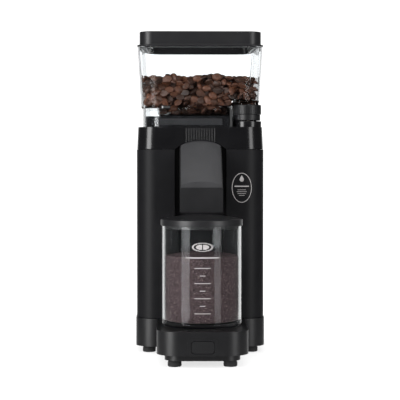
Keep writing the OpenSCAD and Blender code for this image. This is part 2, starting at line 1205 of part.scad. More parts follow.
module jar_lid() {
  dome_r = 181;
  color("#202022")
  translate([0, jar_y, 0])
    difference() {
      union() {
        rotate_extrude()
          difference() {
            intersection() {
              translate([0, jar_lid_top - dome_r])
                circle(dome_r, $fn = 360);
              translate([0, jar_lid_low])
                square([jar_lid_r, 20]);
            }
            square([jar_r + 0.2, jar_top + 0.2]);
          }
        translate([0, 0, plug_low])
          tube(plug_r, plug_r - 2.4, jar_top - plug_low + 1);
      }
      translate([0, inlet_y - jar_y, plug_low - 1])
        cylinder(r = inlet_r, h = 20);
    }
}

module jar_seal() {
  color("#8f8f92")
  translate([0, jar_y, plug_low + 1.5])
    tube(jar_r - jar_wall - 0.02, plug_r, 1.8);
}

module ground_coffee() {
  r = jar_r - jar_wall - 0.4;
  color("#3a2c28")
  translate([0, jar_y, jar_low + 4.2])
    rotate_extrude()
      polygon([
        [0, 0], [r, 0], [r, grounds_level - jar_low - 4.2],
        [r / 2, grounds_level - jar_low - 2], [0, grounds_level - jar_low]
      ]);
}

base();
bottom_plate();
front_feet();
rear_feet();
bottom_screws();
cord_gland();
body_shell();
top_ring();
top_deck();
hopper_collar();
knob_plinth();
deck_screws();
chute_cover();
spout();
badge();
frame_posts();
gearbox_plate();
chamber_pillars();
grinding_chamber();
motor_can();
motor_stator();
motor_lower_bell();
motor_upper_bell();
motor_bearings();
motor_mounts();
motor_rotor();
motor_pinion();
lower_shaft_bearing();
upper_shaft_bearing();
burr_shaft();
large_gear();
sweeper_disc();
cone_burr();
burr_nut();
ring_burr();
burr_carrier();
adjusting_ring();
knob();
knob_shaft();
knob_bush();
control_board();
capacitor();
hopper_switch();
start_button();
button_bezel();
button_spring();
switch_bracket();
start_switch();
switch_plunger();
hopper();
hopper_skirt();
coffee_beans();
hopper_lid();
lid_seal();
jar();
jar_marks();
jar_lid();
jar_seal();
ground_coffee();
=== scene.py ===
import json
import math
import random

import bmesh
import bpy
from mathutils import Matrix, Vector


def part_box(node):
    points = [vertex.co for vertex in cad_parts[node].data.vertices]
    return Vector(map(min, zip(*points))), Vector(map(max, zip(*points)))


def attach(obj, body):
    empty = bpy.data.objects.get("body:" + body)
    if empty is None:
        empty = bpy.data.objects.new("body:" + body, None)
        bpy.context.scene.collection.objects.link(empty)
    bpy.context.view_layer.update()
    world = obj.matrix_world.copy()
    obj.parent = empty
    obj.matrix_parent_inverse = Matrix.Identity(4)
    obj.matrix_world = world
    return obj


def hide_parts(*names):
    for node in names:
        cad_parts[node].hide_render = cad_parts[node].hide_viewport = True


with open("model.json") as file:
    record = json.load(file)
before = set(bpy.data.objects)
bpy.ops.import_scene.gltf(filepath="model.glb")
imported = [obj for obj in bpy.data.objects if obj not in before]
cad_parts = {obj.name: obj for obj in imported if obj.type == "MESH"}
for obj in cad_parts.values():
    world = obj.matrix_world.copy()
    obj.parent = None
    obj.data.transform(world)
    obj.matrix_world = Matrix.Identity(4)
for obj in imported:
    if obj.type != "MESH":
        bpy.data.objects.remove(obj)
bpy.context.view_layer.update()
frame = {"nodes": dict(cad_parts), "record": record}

mm = 0.001
nodes = frame["nodes"]
scene = bpy.context.scene


# small helpers

def hexColor(code, alpha=1.0):
    # sRGB hex to the linear values that the shaders expect
    parts = [int(code[i:i + 2], 16) / 255 for i in (1, 3, 5)]
    linear = [c / 12.92 if c <= 0.04045 else ((c + 0.055) / 1.055) ** 2.4 for c in parts]
    return (*linear, alpha)


def addNode(tree, kind, settings=None, links=None):
    node = tree.nodes.new(kind)
    for key, value in (settings or {}).items():
        if isinstance(key, int) or key in node.inputs:
            node.inputs[key].default_value = value
        else:
            setattr(node, key, value)
    for key, source in (links or {}).items():
        tree.links.new(source, node.inputs[key])
    return node


def newMaterial(name, settings):
    material = bpy.data.materials.new(name)
    material.use_nodes = True
    tree = material.node_tree
    shader = tree.nodes["Principled BSDF"]
    for key, value in settings.items():
        shader.inputs[key].default_value = value
    return material, tree, shader


def objectNoise(tree, size, detail=2.0, stretch=(1, 1, 1)):
    # noise whose lumps are about size metres across, fixed to the object
    place = addNode(tree, "ShaderNodeTexCoord")
    mapping = addNode(tree, "ShaderNodeMapping", {"Scale": stretch}, {"Vector": place.outputs["Object"]})
    return addNode(tree, "ShaderNodeTexNoise", {"Scale": 1 / size, "Detail": detail},
                   {"Vector": mapping.outputs["Vector"]})


def mixColors(tree, shader, factor, dark, light, low=0.3, high=0.7):
    ramp = addNode(tree, "ShaderNodeValToRGB", links={"Fac": factor})
    ramp.color_ramp.elements[0].position = low
    ramp.color_ramp.elements[0].color = hexColor(dark)
    ramp.color_ramp.elements[1].position = high
    ramp.color_ramp.elements[1].color = hexColor(light)
    tree.links.new(ramp.outputs["Color"], shader.inputs["Base Color"])
    return ramp


def varyRoughness(tree, shader, factor, low, high):
    spread = addNode(tree, "ShaderNodeMapRange", {"To Min": low, "To Max": high}, {"Value": factor})
    tree.links.new(spread.outputs["Result"], shader.inputs["Roughness"])


def bumpFrom(tree, shader, height, depth, strength=1.0):
    bump = addNode(tree, "ShaderNodeBump", {"Strength": strength, "Distance": depth}, {"Height": height})
    tree.links.new(bump.outputs["Normal"], shader.inputs["Normal"])
    return bump


# materials

def mouldedAbs(name, dark, light, roughness, grain, depth, gloss=0.4):
    # moulded ABS: the tool's spark texture leaves a fine even grain that softens the gloss
    material, tree, shader = newMaterial(name, {"IOR": 1.53, "Specular IOR Level": gloss})
    cloud = objectNoise(tree, 18 * mm, 3)
    mixColors(tree, shader, cloud.outputs["Fac"], dark, light)
    varyRoughness(tree, shader, cloud.outputs["Fac"], roughness - 0.04, roughness + 0.04)
    grainNoise = objectNoise(tree, grain, 1)
    bumpFrom(tree, shader, grainNoise.outputs["Fac"], depth)
    return material


def clearSanPlastic():
    # clear moulded SAN: a little flow ripple and handling haze make its reflections uneven;
    # the tint keeps its front faces as quiet as a polarising filter would
    material, tree, shader = newMaterial("clearSanPlastic", {
        "Base Color": hexColor("#fbfdfe"), "Transmission Weight": 1.0, "IOR": 1.45,
        "Roughness": 0.02, "Specular Tint": hexColor("#6a6a6a")})
    ripple = objectNoise(tree, 30 * mm, 1, (1, 1, 0.4))
    varyRoughness(tree, shader, ripple.outputs["Fac"], 0.01, 0.05)
    bumpFrom(tree, shader, ripple.outputs["Fac"], 0.15 * mm, 0.25)
    return material


def sodaGlass():
    # blown and pressed soda-lime glass: clear, hard edges, slight waviness, quiet front face
    material, tree, shader = newMaterial("sodaGlass", {
        "Base Color": hexColor("#fafcfc"), "Transmission Weight": 1.0, "IOR": 1.5,
        "Roughness": 0.0, "Specular Tint": hexColor("#6c6c6e")})
    wave = objectNoise(tree, 22 * mm, 0, (1, 1, 0.3))
    bumpFrom(tree, shader, wave.outputs["Fac"], 0.2 * mm, 0.2)
    return material


def roastedBean():
    # medium roast: each bean has its own brown, a wrinkled skin and a thin coat of oil
    material, tree, shader = newMaterial("roastedBean", {
        "IOR": 1.47, "Specular IOR Level": 0.22, "Coat Weight": 0.04, "Coat Roughness": 0.35})
    shade = addNode(tree, "ShaderNodeAttribute", {"attribute_name": "beanShade"})
    patch = objectNoise(tree, 4 * mm, 3)
    blend = addNode(tree, "ShaderNodeMath", {"operation": "MULTIPLY_ADD", 1: 0.35},
                    {0: patch.outputs["Fac"], 2: shade.outputs["Fac"]})
    ramp = mixColors(tree, shader, blend.outputs["Value"], "#1a0f0a", "#462a1d", 0.1, 1.1)
    middle = ramp.color_ramp.elements.new(0.55)
    middle.color = hexColor("#2e1b12")
    varyRoughness(tree, shader, patch.outputs["Fac"], 0.38, 0.6)
    wrinkle = objectNoise(tree, 1.1 * mm, 2)
    bumpFrom(tree, shader, wrinkle.outputs["Fac"], 0.25 * mm, 0.7)
    return material


def groundCoffee():
    # medium grind: grains of about 0.8 mm, a few with pale chaff
    material, tree, shader = newMaterial("groundCoffee", {
        "IOR": 1.4, "Roughness": 0.9, "Specular IOR Level": 0.2})
    place = addNode(tree, "ShaderNodeTexCoord")
    cells = addNode(tree, "ShaderNodeTexVoronoi", {"Scale": 1 / (0.8 * mm), "Randomness": 1.0},
                    {"Vector": place.outputs["Object"]})
    tone = addNode(tree, "ShaderNodeSeparateColor", links={"Color": cells.outputs["Color"]})
    ramp = mixColors(tree, shader, tone.outputs["Red"], "#20181a", "#413638", 0.1, 0.9)
    chaff = ramp.color_ramp.elements.new(0.98)
    chaff.color = hexColor("#665856")
    bumpFrom(tree, shader, cells.outputs["Distance"], 0.25 * mm, 0.8)
    return material


def whiteInk():
    # screen-printed white ink, a little thin in places
    material, tree, shader = newMaterial("whiteInk", {"Roughness": 0.55, "IOR": 1.5})
    thin = objectNoise(tree, 2 * mm, 2)
    mixColors(tree, shader, thin.outputs["Fac"], "#979393", "#aaa7a7")
    return material


def mouldedRubber(name, dark, light, roughness):
    # moulded rubber: dull, with a soft bloom on its surface
    material, tree, shader = newMaterial(name, {"IOR": 1.52, "Sheen Weight": 0.1, "Sheen Roughness": 0.5})
    bloom = objectNoise(tree, 5 * mm, 3)
    mixColors(tree, shader, bloom.outputs["Fac"], dark, light)
    varyRoughness(tree, shader, bloom.outputs["Fac"], roughness - 0.06, roughness + 0.06)
    bumpFrom(tree, shader, objectNoise(tree, 0.8 * mm, 1).outputs["Fac"], 0.03 * mm)
    return material


def groundMetal(name, dark, light, roughness, stretch, grain=0.4):
    # turned, ground or cast metal: fine tool marks run along the stretched direction
    material, tree, shader = newMaterial(name, {"Metallic": 1.0})
    marks = objectNoise(tree, grain * mm, 2, stretch)
    mixColors(tree, shader, marks.outputs["Fac"], dark, light)
    varyRoughness(tree, shader, marks.outputs["Fac"], roughness - 0.06, roughness + 0.08)
    bumpFrom(tree, shader, marks.outputs["Fac"], 0.03 * mm, 0.5)
    return material


def plainMoulding(name, dark, light, roughness):
    # small moulded part: an even colour with faint flow patches
    material, tree, shader = newMaterial(name, {"IOR": 1.48})
    flow = objectNoise(tree, 6 * mm, 2)
    mixColors(tree, shader, flow.outputs["Fac"], dark, light)
    varyRoughness(tree, shader, flow.outputs["Fac"], roughness - 0.05, roughness + 0.05)
    bumpFrom(tree, shader, objectNoise(tree, 0.6 * mm, 1).outputs["Fac"], 0.02 * mm)
    return material


finishes = {
    "housing_plastic": mouldedAbs("housingAbs", "#121214", "#151517", 0.46, 0.5 * mm, 0.03 * mm, 0.13),
    "base_plastic": mouldedAbs("baseAbs", "#0f0f11", "#121214", 0.38, 0.6 * mm, 0.01 * mm, 0.35),
    "ring_plastic": mouldedAbs("ringAbs", "#0c0c0e", "#0f0f11", 0.2, 0.6 * mm, 0.006 * mm, 0.5),
    "lid_plastic": mouldedAbs("lidAbs", "#19191b", "#1d1d1f", 0.36, 0.5 * mm, 0.015 * mm),
    "knob_plastic": mouldedAbs("knobAbs", "#0f0f11", "#121214", 0.42, 0.5 * mm, 0.015 * mm),
    # painted light: the chute cover's grey is set far lighter than the black spout below it, painting in the
    # light that falls from above on its upward slope
    "chute_plastic": mouldedAbs("chuteAbs", "#2f2f31", "#343436", 0.42, 0.5 * mm, 0.02 * mm),
    "spout_plastic": mouldedAbs("spoutAbs", "#161618", "#1a1a1c", 0.4, 0.5 * mm, 0.02 * mm),
    "inner_plastic": mouldedAbs("innerAbs", "#1a1a1b", "#202021", 0.55, 0.6 * mm, 0.03 * mm),
    "foot_rubber": mouldedRubber("footRubber", "#111112", "#19191a", 0.75),
    "seal_silicone": mouldedRubber("sealSilicone", "#161617", "#1e1e1f", 0.5),
    "white_print": whiteInk(),
    "clear_plastic": clearSanPlastic(),
    "jar_glass": sodaGlass(),
    "roast_beans": roastedBean(),
    "coffee_grounds": groundCoffee(),
    "screw_steel": groundMetal("platedSteel", "#8d9094", "#b4b6b9", 0.32, (1, 1, 6)),
    "zinc_steel": groundMetal("zincPlatedSteel", "#8f9498", "#b0b4b6", 0.38, (1, 1, 0.1), 2.0),
    "cast_alloy": groundMetal("diecastAlloy", "#85878a", "#a5a7aa", 0.52, (1, 1, 1), 1.2),
    "motor_iron": groundMetal("laminatedIron", "#4a3a30", "#6b5140", 0.5, (0.05, 0.05, 3), 0.5),
    "bearing_steel": groundMetal("groundSteel", "#a9acb0", "#c8cacc", 0.2, (0.1, 0.1, 4)),
    "burr_steel": groundMetal("hardenedSteel", "#7c7f83", "#a3a6aa", 0.34, (0.2, 0.2, 5)),
    "gear_brass": groundMetal("machinedBrass", "#a5854a", "#c8a768", 0.3, (0.2, 0.2, 5)),
    "gear_acetal": plainMoulding("naturalAcetal", "#cfc8b4", "#ddd7c6", 0.42),
    "board_laminate": plainMoulding("boardLaminate", "#1d4a2e", "#255a38", 0.45),
    "capacitor_film": plainMoulding("capacitorCase", "#27457c", "#31528c", 0.35),
    "plunger_plastic": plainMoulding("plungerNylon", "#8c2a20", "#9d342a", 0.45),
}
slotOf = {part["node"]: part["material_slot"] for part in frame["record"]["subparts"]}


def dress(piece, slotName):
    piece.data.materials.clear()
    piece.data.materials.append(finishes[slotName])


for nodeName, cadPiece in nodes.items():
    dress(cadPiece, slotOf[nodeName])
print("materials made:", len(finishes))


# modelling helpers

def editMode():
    bpy.ops.object.mode_set(mode="EDIT")


def objectMode():
    bpy.ops.object.mode_set(mode="OBJECT")


def beginPiece():
    if bpy.context.object and bpy.context.object.mode != "OBJECT":
        objectMode()
    bpy.ops.object.select_all(action="DESELECT")


def choose(piece):
    beginPiece()
    piece.select_set(True)
    bpy.context.view_layer.objects.active = piece


def joinPieces(parts):
    # joins the parts into the first of them
    beginPiece()
    for part in parts:
        part.select_set(True)
    bpy.context.view_layer.objects.active = parts[0]
    bpy.ops.object.join()


def pick(kind, test):
    # selects the vertices, edges or faces of the piece being edited that pass a test
    mesh = bmesh.from_edit_mesh(bpy.context.object.data)
    bpy.ops.mesh.select_mode(type=kind)
    bpy.ops.mesh.select_all(action="DESELECT")
    parts = {"VERT": mesh.verts, "EDGE": mesh.edges, "FACE": mesh.faces}[kind]
    for part in parts:
        if test(part):
            part.select_set(True)
    bmesh.update_edit_mesh(bpy.context.object.data)


def middle(part):
    return sum((v.co for v in part.verts), Vector()) / len(part.verts)


def upright(edge):
    a, b = (v.co for v in edge.verts)
    return abs(a.z - b.z) > 0.9 * (a - b).length


def roundedBlock(name, low, high, corner, steps=12):
    # a cube at its size and place, with its four upright edges rounded; left in edit mode
    beginPiece()
    low, high = Vector(low), Vector(high)
    bpy.ops.mesh.primitive_cube_add(size=1, location=(low + high) / 2, scale=high - low)
    piece = bpy.context.object
    piece.name = name
    bpy.ops.object.transform_apply(location=True, rotation=True, scale=True)
    editMode()
    pick("EDGE", upright)
    bpy.ops.mesh.bevel(offset=corner, segments=steps, profile=0.5)
    return piece


def arc(centreR, centreZ, radius, start, end, steps=5):
    # points of a round stretch in a turned outline, angles in degrees from the radial direction
    angles = [math.radians(start + (end - start) * i / steps) for i in range(steps + 1)]
    return [(centreR + radius * math.cos(a), centreZ + radius * math.sin(a)) for a in angles]


def turned(name, axis, outline, vertices=96, closed=False, caps=True):
    # a ring extruded from point to point of the outline, (radius, height) in metres
    beginPiece()
    x, y = axis
    radius, height = outline[0]
    bpy.ops.mesh.primitive_circle_add(vertices=vertices, radius=radius, location=(x, y, height))
    piece = bpy.context.object
    piece.name = name
    bpy.ops.object.transform_apply(location=True, rotation=True, scale=True)
    editMode()
    bpy.ops.mesh.select_all(action="SELECT")
    if caps and not closed:
        bpy.ops.mesh.edge_face_add()
        bpy.ops.mesh.select_mode(type="EDGE")
    for nextRadius, nextHeight in outline[1:] + (outline[:1] if closed else []):
        bpy.ops.mesh.extrude_edges_move(TRANSFORM_OT_translate={"value": (0, 0, nextHeight - height)})
        growth = nextRadius / radius
        bpy.ops.transform.resize(value=(growth, growth, 1), center_override=(x, y, nextHeight))
        radius, height = nextRadius, nextHeight
    if caps and not closed:
        bpy.ops.mesh.edge_face_add()
    bpy.ops.mesh.select_all(action="SELECT")
    bpy.ops.mesh.remove_doubles(threshold=1e-6)
    bpy.ops.mesh.normals_make_consistent(inside=False)
    return piece


def applyModifier(piece, kind, **settings):
    bpy.context.view_layer.objects.active = piece
    modifier = piece.modifiers.new(kind.title(), kind)
    for key, value in settings.items():
        setattr(modifier, key, value)
    bpy.ops.object.modifier_apply(modifier=modifier.name)


def cutWith(piece, cutter, operation="DIFFERENCE"):
    applyModifier(piece, "BOOLEAN", object=cutter, operation=operation, solver="EXACT")
    bpy.data.objects.remove(cutter, do_unlink=True)


def finishPiece(piece, body, stoodFor, slotName, bevel=0.0, segments=3, angle=32):
    # rounds the sharp edges, smooths the shading and hangs the piece on its body
    choose(piece)
    if bevel:
        applyModifier(piece, "BEVEL", width=bevel, segments=segments, limit_method="ANGLE",
                      angle_limit=math.radians(angle), miter_outer="MITER_ARC", use_clamp_overlap=True)
    bpy.ops.object.shade_smooth_by_angle(angle=math.radians(angle + 8))
    applyModifier(piece, "WEIGHTED_NORMAL", keep_sharp=True)
    dress(piece, slotName)
    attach(piece, body)
    if stoodFor:
        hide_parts(*stoodFor)
    return piece


def softCopy(name, nodeName, body, bevel, segments=3):
    # a merged copy of a CAD node with its edges broken, as a moulding's are
    piece = nodes[nodeName].copy()
    piece.data = piece.data.copy()
    piece.name = name
    scene.collection.objects.link(piece)
    for key in list(piece.keys()):
        del piece[key]
    piece.parent = None
    choose(piece)
    editMode()
    bpy.ops.mesh.select_all(action="SELECT")
    bpy.ops.mesh.remove_doubles(threshold=2e-6)
    bpy.ops.mesh.dissolve_limited(angle_limit=math.radians(0.5))
    objectMode()
    return finishPiece(piece, body, [nodeName], slotOf[nodeName], bevel, segments)


# camera and light

def addCamera():
    settings = {"place": (-0.032, -1.605, 0.212), "target": (-0.0005, 0.0, 0.1638), "lens": 135}
    bpy.ops.object.camera_add(location=settings["place"])
    camera = bpy.context.object
    look = Vector(settings["target"]) - camera.location
    camera.rotation_euler = look.to_track_quat("-Z", "Y").to_euler()
    camera.data.lens = settings["lens"]
    camera.data.sensor_width = 36
    camera.data.clip_start = 0.05
    camera.data.clip_end = 50
    scene.camera = camera


def addSoftbox(name, place, target, width, height, power):
    bpy.ops.object.light_add(type="AREA", location=place)
    light = bpy.context.object
    light.name = name
    light.data.shape = "RECTANGLE"
    light.data.size = width
    light.data.size_y = height
    light.data.energy = power
    look = Vector(target) - Vector(place)
    light.rotation_euler = look.to_track_quat("-Z", "Y").to_euler()


def addStudio():
    bpy.ops.mesh.primitive_circle_add(vertices=96, radius=studio["floorRadius"], fill_type="NGON")
    floor = bpy.context.object
    floor.name = "studioFloor"
    material, tree, shader = newMaterial("paleStudioFloor", {"Roughness": 1.0, "Specular IOR Level": 0.1})
    shade = objectNoise(tree, studio["floorMottle"], 1)
    mixColors(tree, shader, shade.outputs["Fac"], "#f8f8f8", "#fbfbfb")
    # the floor fades into the white room, so that it has no edge
    place = addNode(tree, "ShaderNodeTexCoord")
    spread = addNode(tree, "ShaderNodeMapping", {"Scale": (1 / studio["floorRadius"],) * 3},
                     {"Vector": place.outputs["Object"]})
    fade = addNode(tree, "ShaderNodeTexGradient", {"gradient_type": "SPHERICAL"},
                   {"Vector": spread.outputs["Vector"]})
    solid = addNode(tree, "ShaderNodeMapRange", {"From Min": 0.0, "From Max": studio["floorFade"]},
                    {"Value": fade.outputs["Fac"]})
    tree.links.new(solid.outputs["Result"], shader.inputs["Alpha"])
    floor.data.materials.append(material)
    for name, light in studio["lights"].items():
        addSoftbox(name, light["place"], (0, 0, 0.17), *light["size"], light["power"])
    world = bpy.data.worlds.new("studioWorld")
    scene.world = world
    world.use_nodes = True
    tree = world.node_tree
    tree.nodes.clear()
    # the room is white, but mirror reflections see it dim, as if black screens stood in front;
    # only those that glance off away from the camera see it white
    place = addNode(tree, "ShaderNodeTexCoord")
    facing = addNode(tree, "ShaderNodeVectorTransform",
                     {"vector_type": "VECTOR", "convert_from": "WORLD", "convert_to": "CAMERA"},
                     {"Vector": place.outputs["Generated"]})
    way = addNode(tree, "ShaderNodeSeparateXYZ", links={"Vector": facing.outputs["Vector"]})
    behind = addNode(tree, "ShaderNodeMapRange",
                     {"From Min": studio["glanceFrom"], "From Max": studio["glanceTo"],
                      "To Min": studio["mirroredRoom"], "To Max": studio["mirroredBack"]},
                     {"Value": way.outputs["Z"]})
    path = addNode(tree, "ShaderNodeLightPath")
    mirrored = addNode(tree, "ShaderNodeMath", {"operation": "SUBTRACT", "use_clamp": True},
                       {0: path.outputs["Glossy Depth"], 1: path.outputs["Diffuse Depth"]})
    # light bent through clear parts is dimmer from the sides, so that their edges show
    seen = addNode(tree, "ShaderNodeMapRange",
                   {"From Min": studio["flagFrom"], "From Max": studio["flagTo"],
                    "To Min": studio["flagGlow"], "To Max": studio["seenRoom"]},
                   {"Value": way.outputs["Z"]})
    scattered = addNode(tree, "ShaderNodeMix", {"data_type": "FLOAT", "B": studio["scatteredRoom"]},
                        {"Factor": path.outputs["Diffuse Depth"], "A": seen.outputs["Result"]})
    strength = addNode(tree, "ShaderNodeMix", {"data_type": "FLOAT"},
                       {"Factor": mirrored.outputs["Value"], "A": scattered.outputs["Result"],
                        "B": behind.outputs["Result"]})
    glow = addNode(tree, "ShaderNodeBackground", {"Color": (1, 1, 1, 1)},
                   {"Strength": strength.outputs["Result"]})
    addNode(tree, "ShaderNodeOutputWorld", links={"Surface": glow.outputs["Background"]})
    scene.view_settings.view_transform = "Standard"


studio = {
    "floorRadius": 0.6, "seenRoom": 1.3, "scatteredRoom": 0.9, "mirroredRoom": 0.07, "mirroredBack": 1.1,
    "glanceFrom": 0.72, "glanceTo": 0.95, "floorFade": 1.9, "floorMottle": 900 * mm,
    "flagFrom": 0.8, "flagTo": 0.96, "flagGlow": 0.15,
    "lights": {
        "leftSoftbox": {"place": (-1.1, -1.0, 0.35), "size": (0.68, 1.5), "power": 24},
        "rightSoftbox": {"place": (1.0, -1.02, 0.35), "size": (0.5, 1.5), "power": 10},
        "topSoftbox": {"place": (0, -0.2, 1.6), "size": (1.2, 1.2), "power": 5}}}
addCamera()
addStudio()
print("camera and light set")


# hopper lid

def makeHopperLid():
    low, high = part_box("hopper_lid")
    lid = {"corner": 17 * mm, "insetSide": 2.6 * mm, "flange": 1.6 * mm, "plug": 1.2 * mm,
           "plugInset": 6.3 * mm, "plugWall": 3 * mm, "hollow": 10 * mm, "panelInset": 4 * mm,
           "panelRise": 0.4 * mm, "plugDraft": 0.985}
    flangeLow = low.z + lid["plug"]
    piece = roundedBlock("hopperLidCap", (low.x, low.y, flangeLow),
                         (high.x, high.y, flangeLow + lid["flange"]), lid["corner"])
    rise = high.z - flangeLow - lid["flange"] - lid["panelRise"]
    pick("FACE", lambda f: f.normal.z > 0.9)
    bpy.ops.mesh.inset(thickness=lid["insetSide"])
    bpy.ops.mesh.extrude_region_move(TRANSFORM_OT_translate={"value": (0, 0, rise)})
    bpy.ops.mesh.inset(thickness=lid["panelInset"])
    bpy.ops.transform.translate(value=(0, 0, lid["panelRise"]))
    pick("FACE", lambda f: f.normal.z < -0.9)
    bpy.ops.mesh.inset(thickness=lid["plugInset"])
    bpy.ops.mesh.extrude_region_move(TRANSFORM_OT_translate={"value": (0, 0, -lid["plug"])})
    bpy.ops.transform.resize(value=(lid["plugDraft"], lid["plugDraft"], 1),
                             center_override=((low.x + high.x) / 2, (low.y + high.y) / 2, low.z))
    bpy.ops.mesh.inset(thickness=lid["plugWall"])
    bpy.ops.mesh.extrude_region_move(TRANSFORM_OT_translate={"value": (0, 0, lid["hollow"])})
    return finishPiece(piece, "hopper_cover", ["hopper_lid"], "lid_plastic", 0.7 * mm, 4)


makeHopperLid()
print("hopper lid made")

# hopper

hopper = {"lowWidth": 127 * mm, "topWidth": 134.8 * mm, "shallower": 2.6 * mm, "middleY": 60.5 * mm,
          "corner": 22 * mm, "wall": 2.4 * mm, "floor": 262 * mm, "rim": 328 * mm,
          "skirtWidth": 123.4 * mm, "skirtLow": 242.3 * mm,
          "bowlY": 60 * mm, "bowl": 48 * mm, "bowlKnee": 38 * mm, "bowlDrop": 9.2 * mm,
          "neck": 22 * mm, "neckLow": 236.6 * mm, "neckDeep": 14 * mm,
          "neckBend": 4 * mm, "neckKnee": 11.4 * mm, "neckWall": 2.2 * mm,
          "bowlRim": 2.2 * mm, "skirtOverlap": 1 * mm,
          "recess": 17 * mm, "recessRoof": 268.4 * mm, "recessFloor": 230 * mm, "recessReach": 60 * mm}


def hopperBlock(name, width, low, high, inset=0.0, topWidth=None):
    # a block on the hopper's plan outline, wider at its top if topWidth is given
    halfX, halfY = width / 2 - inset, (width - hopper["shallower"]) / 2 - inset
    y = hopper["middleY"]
    block = roundedBlock(name, (-halfX, y - halfY, low), (halfX, y + halfY, high), hopper["corner"] - inset)
    if topWidth:
        growth = (topWidth - 2 * inset) / (width - 2 * inset)
        pick("VERT", lambda v: v.co.z > high - 0.01 * mm)
        bpy.ops.transform.resize(value=(growth, growth, 1), center_override=(0, y, high))
    objectMode()
    return block


def knobRecess(grow):
    # the space left around the knob: round at the back, open to the front and the right
    low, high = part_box("knob")
    x, y = (low.x + high.x) / 2, (low.y + high.y) / 2
    radius, reach, floor = hopper["recess"] + grow, hopper["recessReach"], hopper["recessFloor"]
    tall = hopper["recessRoof"] + grow - floor
    beginPiece()
    bpy.ops.mesh.primitive_cylinder_add(vertices=72, radius=radius, depth=tall,
                                        location=(x, y, floor + tall / 2))
    cutter = bpy.context.object
    blocks = [((x + reach / 2, y, floor + tall / 2), (reach, 2 * radius, tall)),
              ((x - radius + (reach + radius) / 2, y - reach / 2, floor + tall / 2),
               (reach + radius, reach, tall))]
    for place, size in blocks:
        bpy.ops.mesh.primitive_cube_add(size=1, location=place, scale=size)
        cutWith(cutter, bpy.context.object, "UNION")
    choose(cutter)
    bpy.ops.object.transform_apply(location=True, rotation=True, scale=True)
    return cutter


def bowlOutline():
    # outer then inner wall of the bowl, from its neck up to the floor and back
    wall, knee, floor = hopper["wall"], hopper["bowlKnee"], hopper["floor"]
    bend = hopper["bowl"] - knee
    outer = [(knee + bend * math.sin(a), floor - hopper["bowlDrop"] * math.cos(a))
             for a in (math.radians(d) for d in range(0, 91, 10))]
    inner = [(knee + (bend - wall) * math.sin(a), floor - (hopper["bowlDrop"] - wall) * math.cos(a))
             for a in (math.radians(d) for d in range(90, -1, -10))]
    neck, low, thick = hopper["neck"], hopper["neckLow"], hopper["neckWall"]
    curl, turnAt = hopper["neckBend"], low + hopper["neckKnee"]
    outerNeck = [(neck, low)] + arc(neck + curl, turnAt, curl, 180, 105, 4)
    innerNeck = arc(neck + curl, turnAt + wall, curl + thick, 105, 180, 4) + [(neck - thick, low)]
    rim = floor + hopper["bowlRim"]
    top = [(hopper["bowl"], rim), (hopper["bowl"] - wall, rim)]
    return outerNeck + outer + top + inner + innerNeck


def makeHopper():
    lowWidth, topWidth, wall = hopper["lowWidth"], hopper["topWidth"], hopper["wall"]
    cavity = hopperBlock("hopperCavity", lowWidth, hopper["floor"] + wall, hopper["rim"] + 2 * mm,
                         wall, topWidth)
    cutWith(cavity, knobRecess(wall))
    under = hopperBlock("skirtCavity", hopper["skirtWidth"], hopper["skirtLow"] - 5 * mm,
                        hopper["floor"], wall)
    cutWith(under, knobRecess(wall))
    piece = hopperBlock("clearHopper", lowWidth, hopper["floor"], hopper["rim"], 0.0, topWidth)
    skirt = hopperBlock("skirtBlock", hopper["skirtWidth"], hopper["skirtLow"],
                        hopper["floor"] + hopper["skirtOverlap"])
    cutWith(piece, skirt, "UNION")
    cutWith(piece, cavity)
    cutWith(piece, under)
    beginPiece()
    bpy.ops.mesh.primitive_cylinder_add(vertices=96, radius=hopper["bowl"] - wall, depth=20 * mm,
                                        location=(0, hopper["bowlY"], hopper["floor"] + 5 * mm))
    cutWith(piece, bpy.context.object)
    bowl = turned("bowl", (0, hopper["bowlY"]), bowlOutline(), closed=True)
    objectMode()
    cutWith(piece, bowl, "UNION")
    cutWith(piece, knobRecess(0))
    piece.visible_shadow = False
    return finishPiece(piece, "bean_hopper", ["hopper", "hopper_skirt"], "clear_plastic", 0.5 * mm, 3, 40)


makeHopper()
print("hopper made")

# coffee beans

beans = {"long": 10.4 * mm, "wide": 7.6 * mm, "thick": 5.4 * mm, "apart": 7.3 * mm, "count": 1450,
         "rounds": 14, "level": 296.3 * mm, "shell": 15 * mm, "seed": 11,
         "peak": 3 * mm, "peakX": -34 * mm, "peakWide": 13 * mm, "wave": 1.1 * mm,
         "waveLong": 17 * mm, "waveShort": 9 * mm, "waveDeep": 21 * mm, "waveShift": 0.6,
         "flatWide": 1.15, "flatThick": 0.55, "creaseThick": 0.2,
         "spreadX": 62, "spreadY": 60, "from": 250, "to": 299, "wallGap": 3 * mm, "floorGap": 2.8 * mm,
         "topGap": 2.6 * mm, "nearWall": 8 * mm, "clear": 0.3 * mm, "smallest": 0.88, "largest": 1.1}


def beanShape():
    # one bean lying along X: a ball with a flat underside and a crease along it
    beginPiece()
    bpy.ops.mesh.primitive_uv_sphere_add(segments=8, ring_count=7, radius=0.5)
    bean = bpy.context.object
    editMode()
    bpy.ops.mesh.select_all(action="SELECT")
    bpy.ops.transform.rotate(value=math.radians(90), orient_axis="Y", center_override=(0, 0, 0))
    pick("VERT", lambda v: v.co.z < -0.1 and abs(v.co.y) > 0.02)
    bpy.ops.transform.resize(value=(1, beans["flatWide"], beans["flatThick"]), center_override=(0, 0, 0))
    pick("VERT", lambda v: v.co.z < -0.1 and abs(v.co.y) < 0.02)
    bpy.ops.transform.resize(value=(1, 1, beans["creaseThick"]), center_override=(0, 0, 0))
    objectMode()
    shape = bean.data
    bpy.data.objects.remove(bean, do_unlink=True)
    return shape


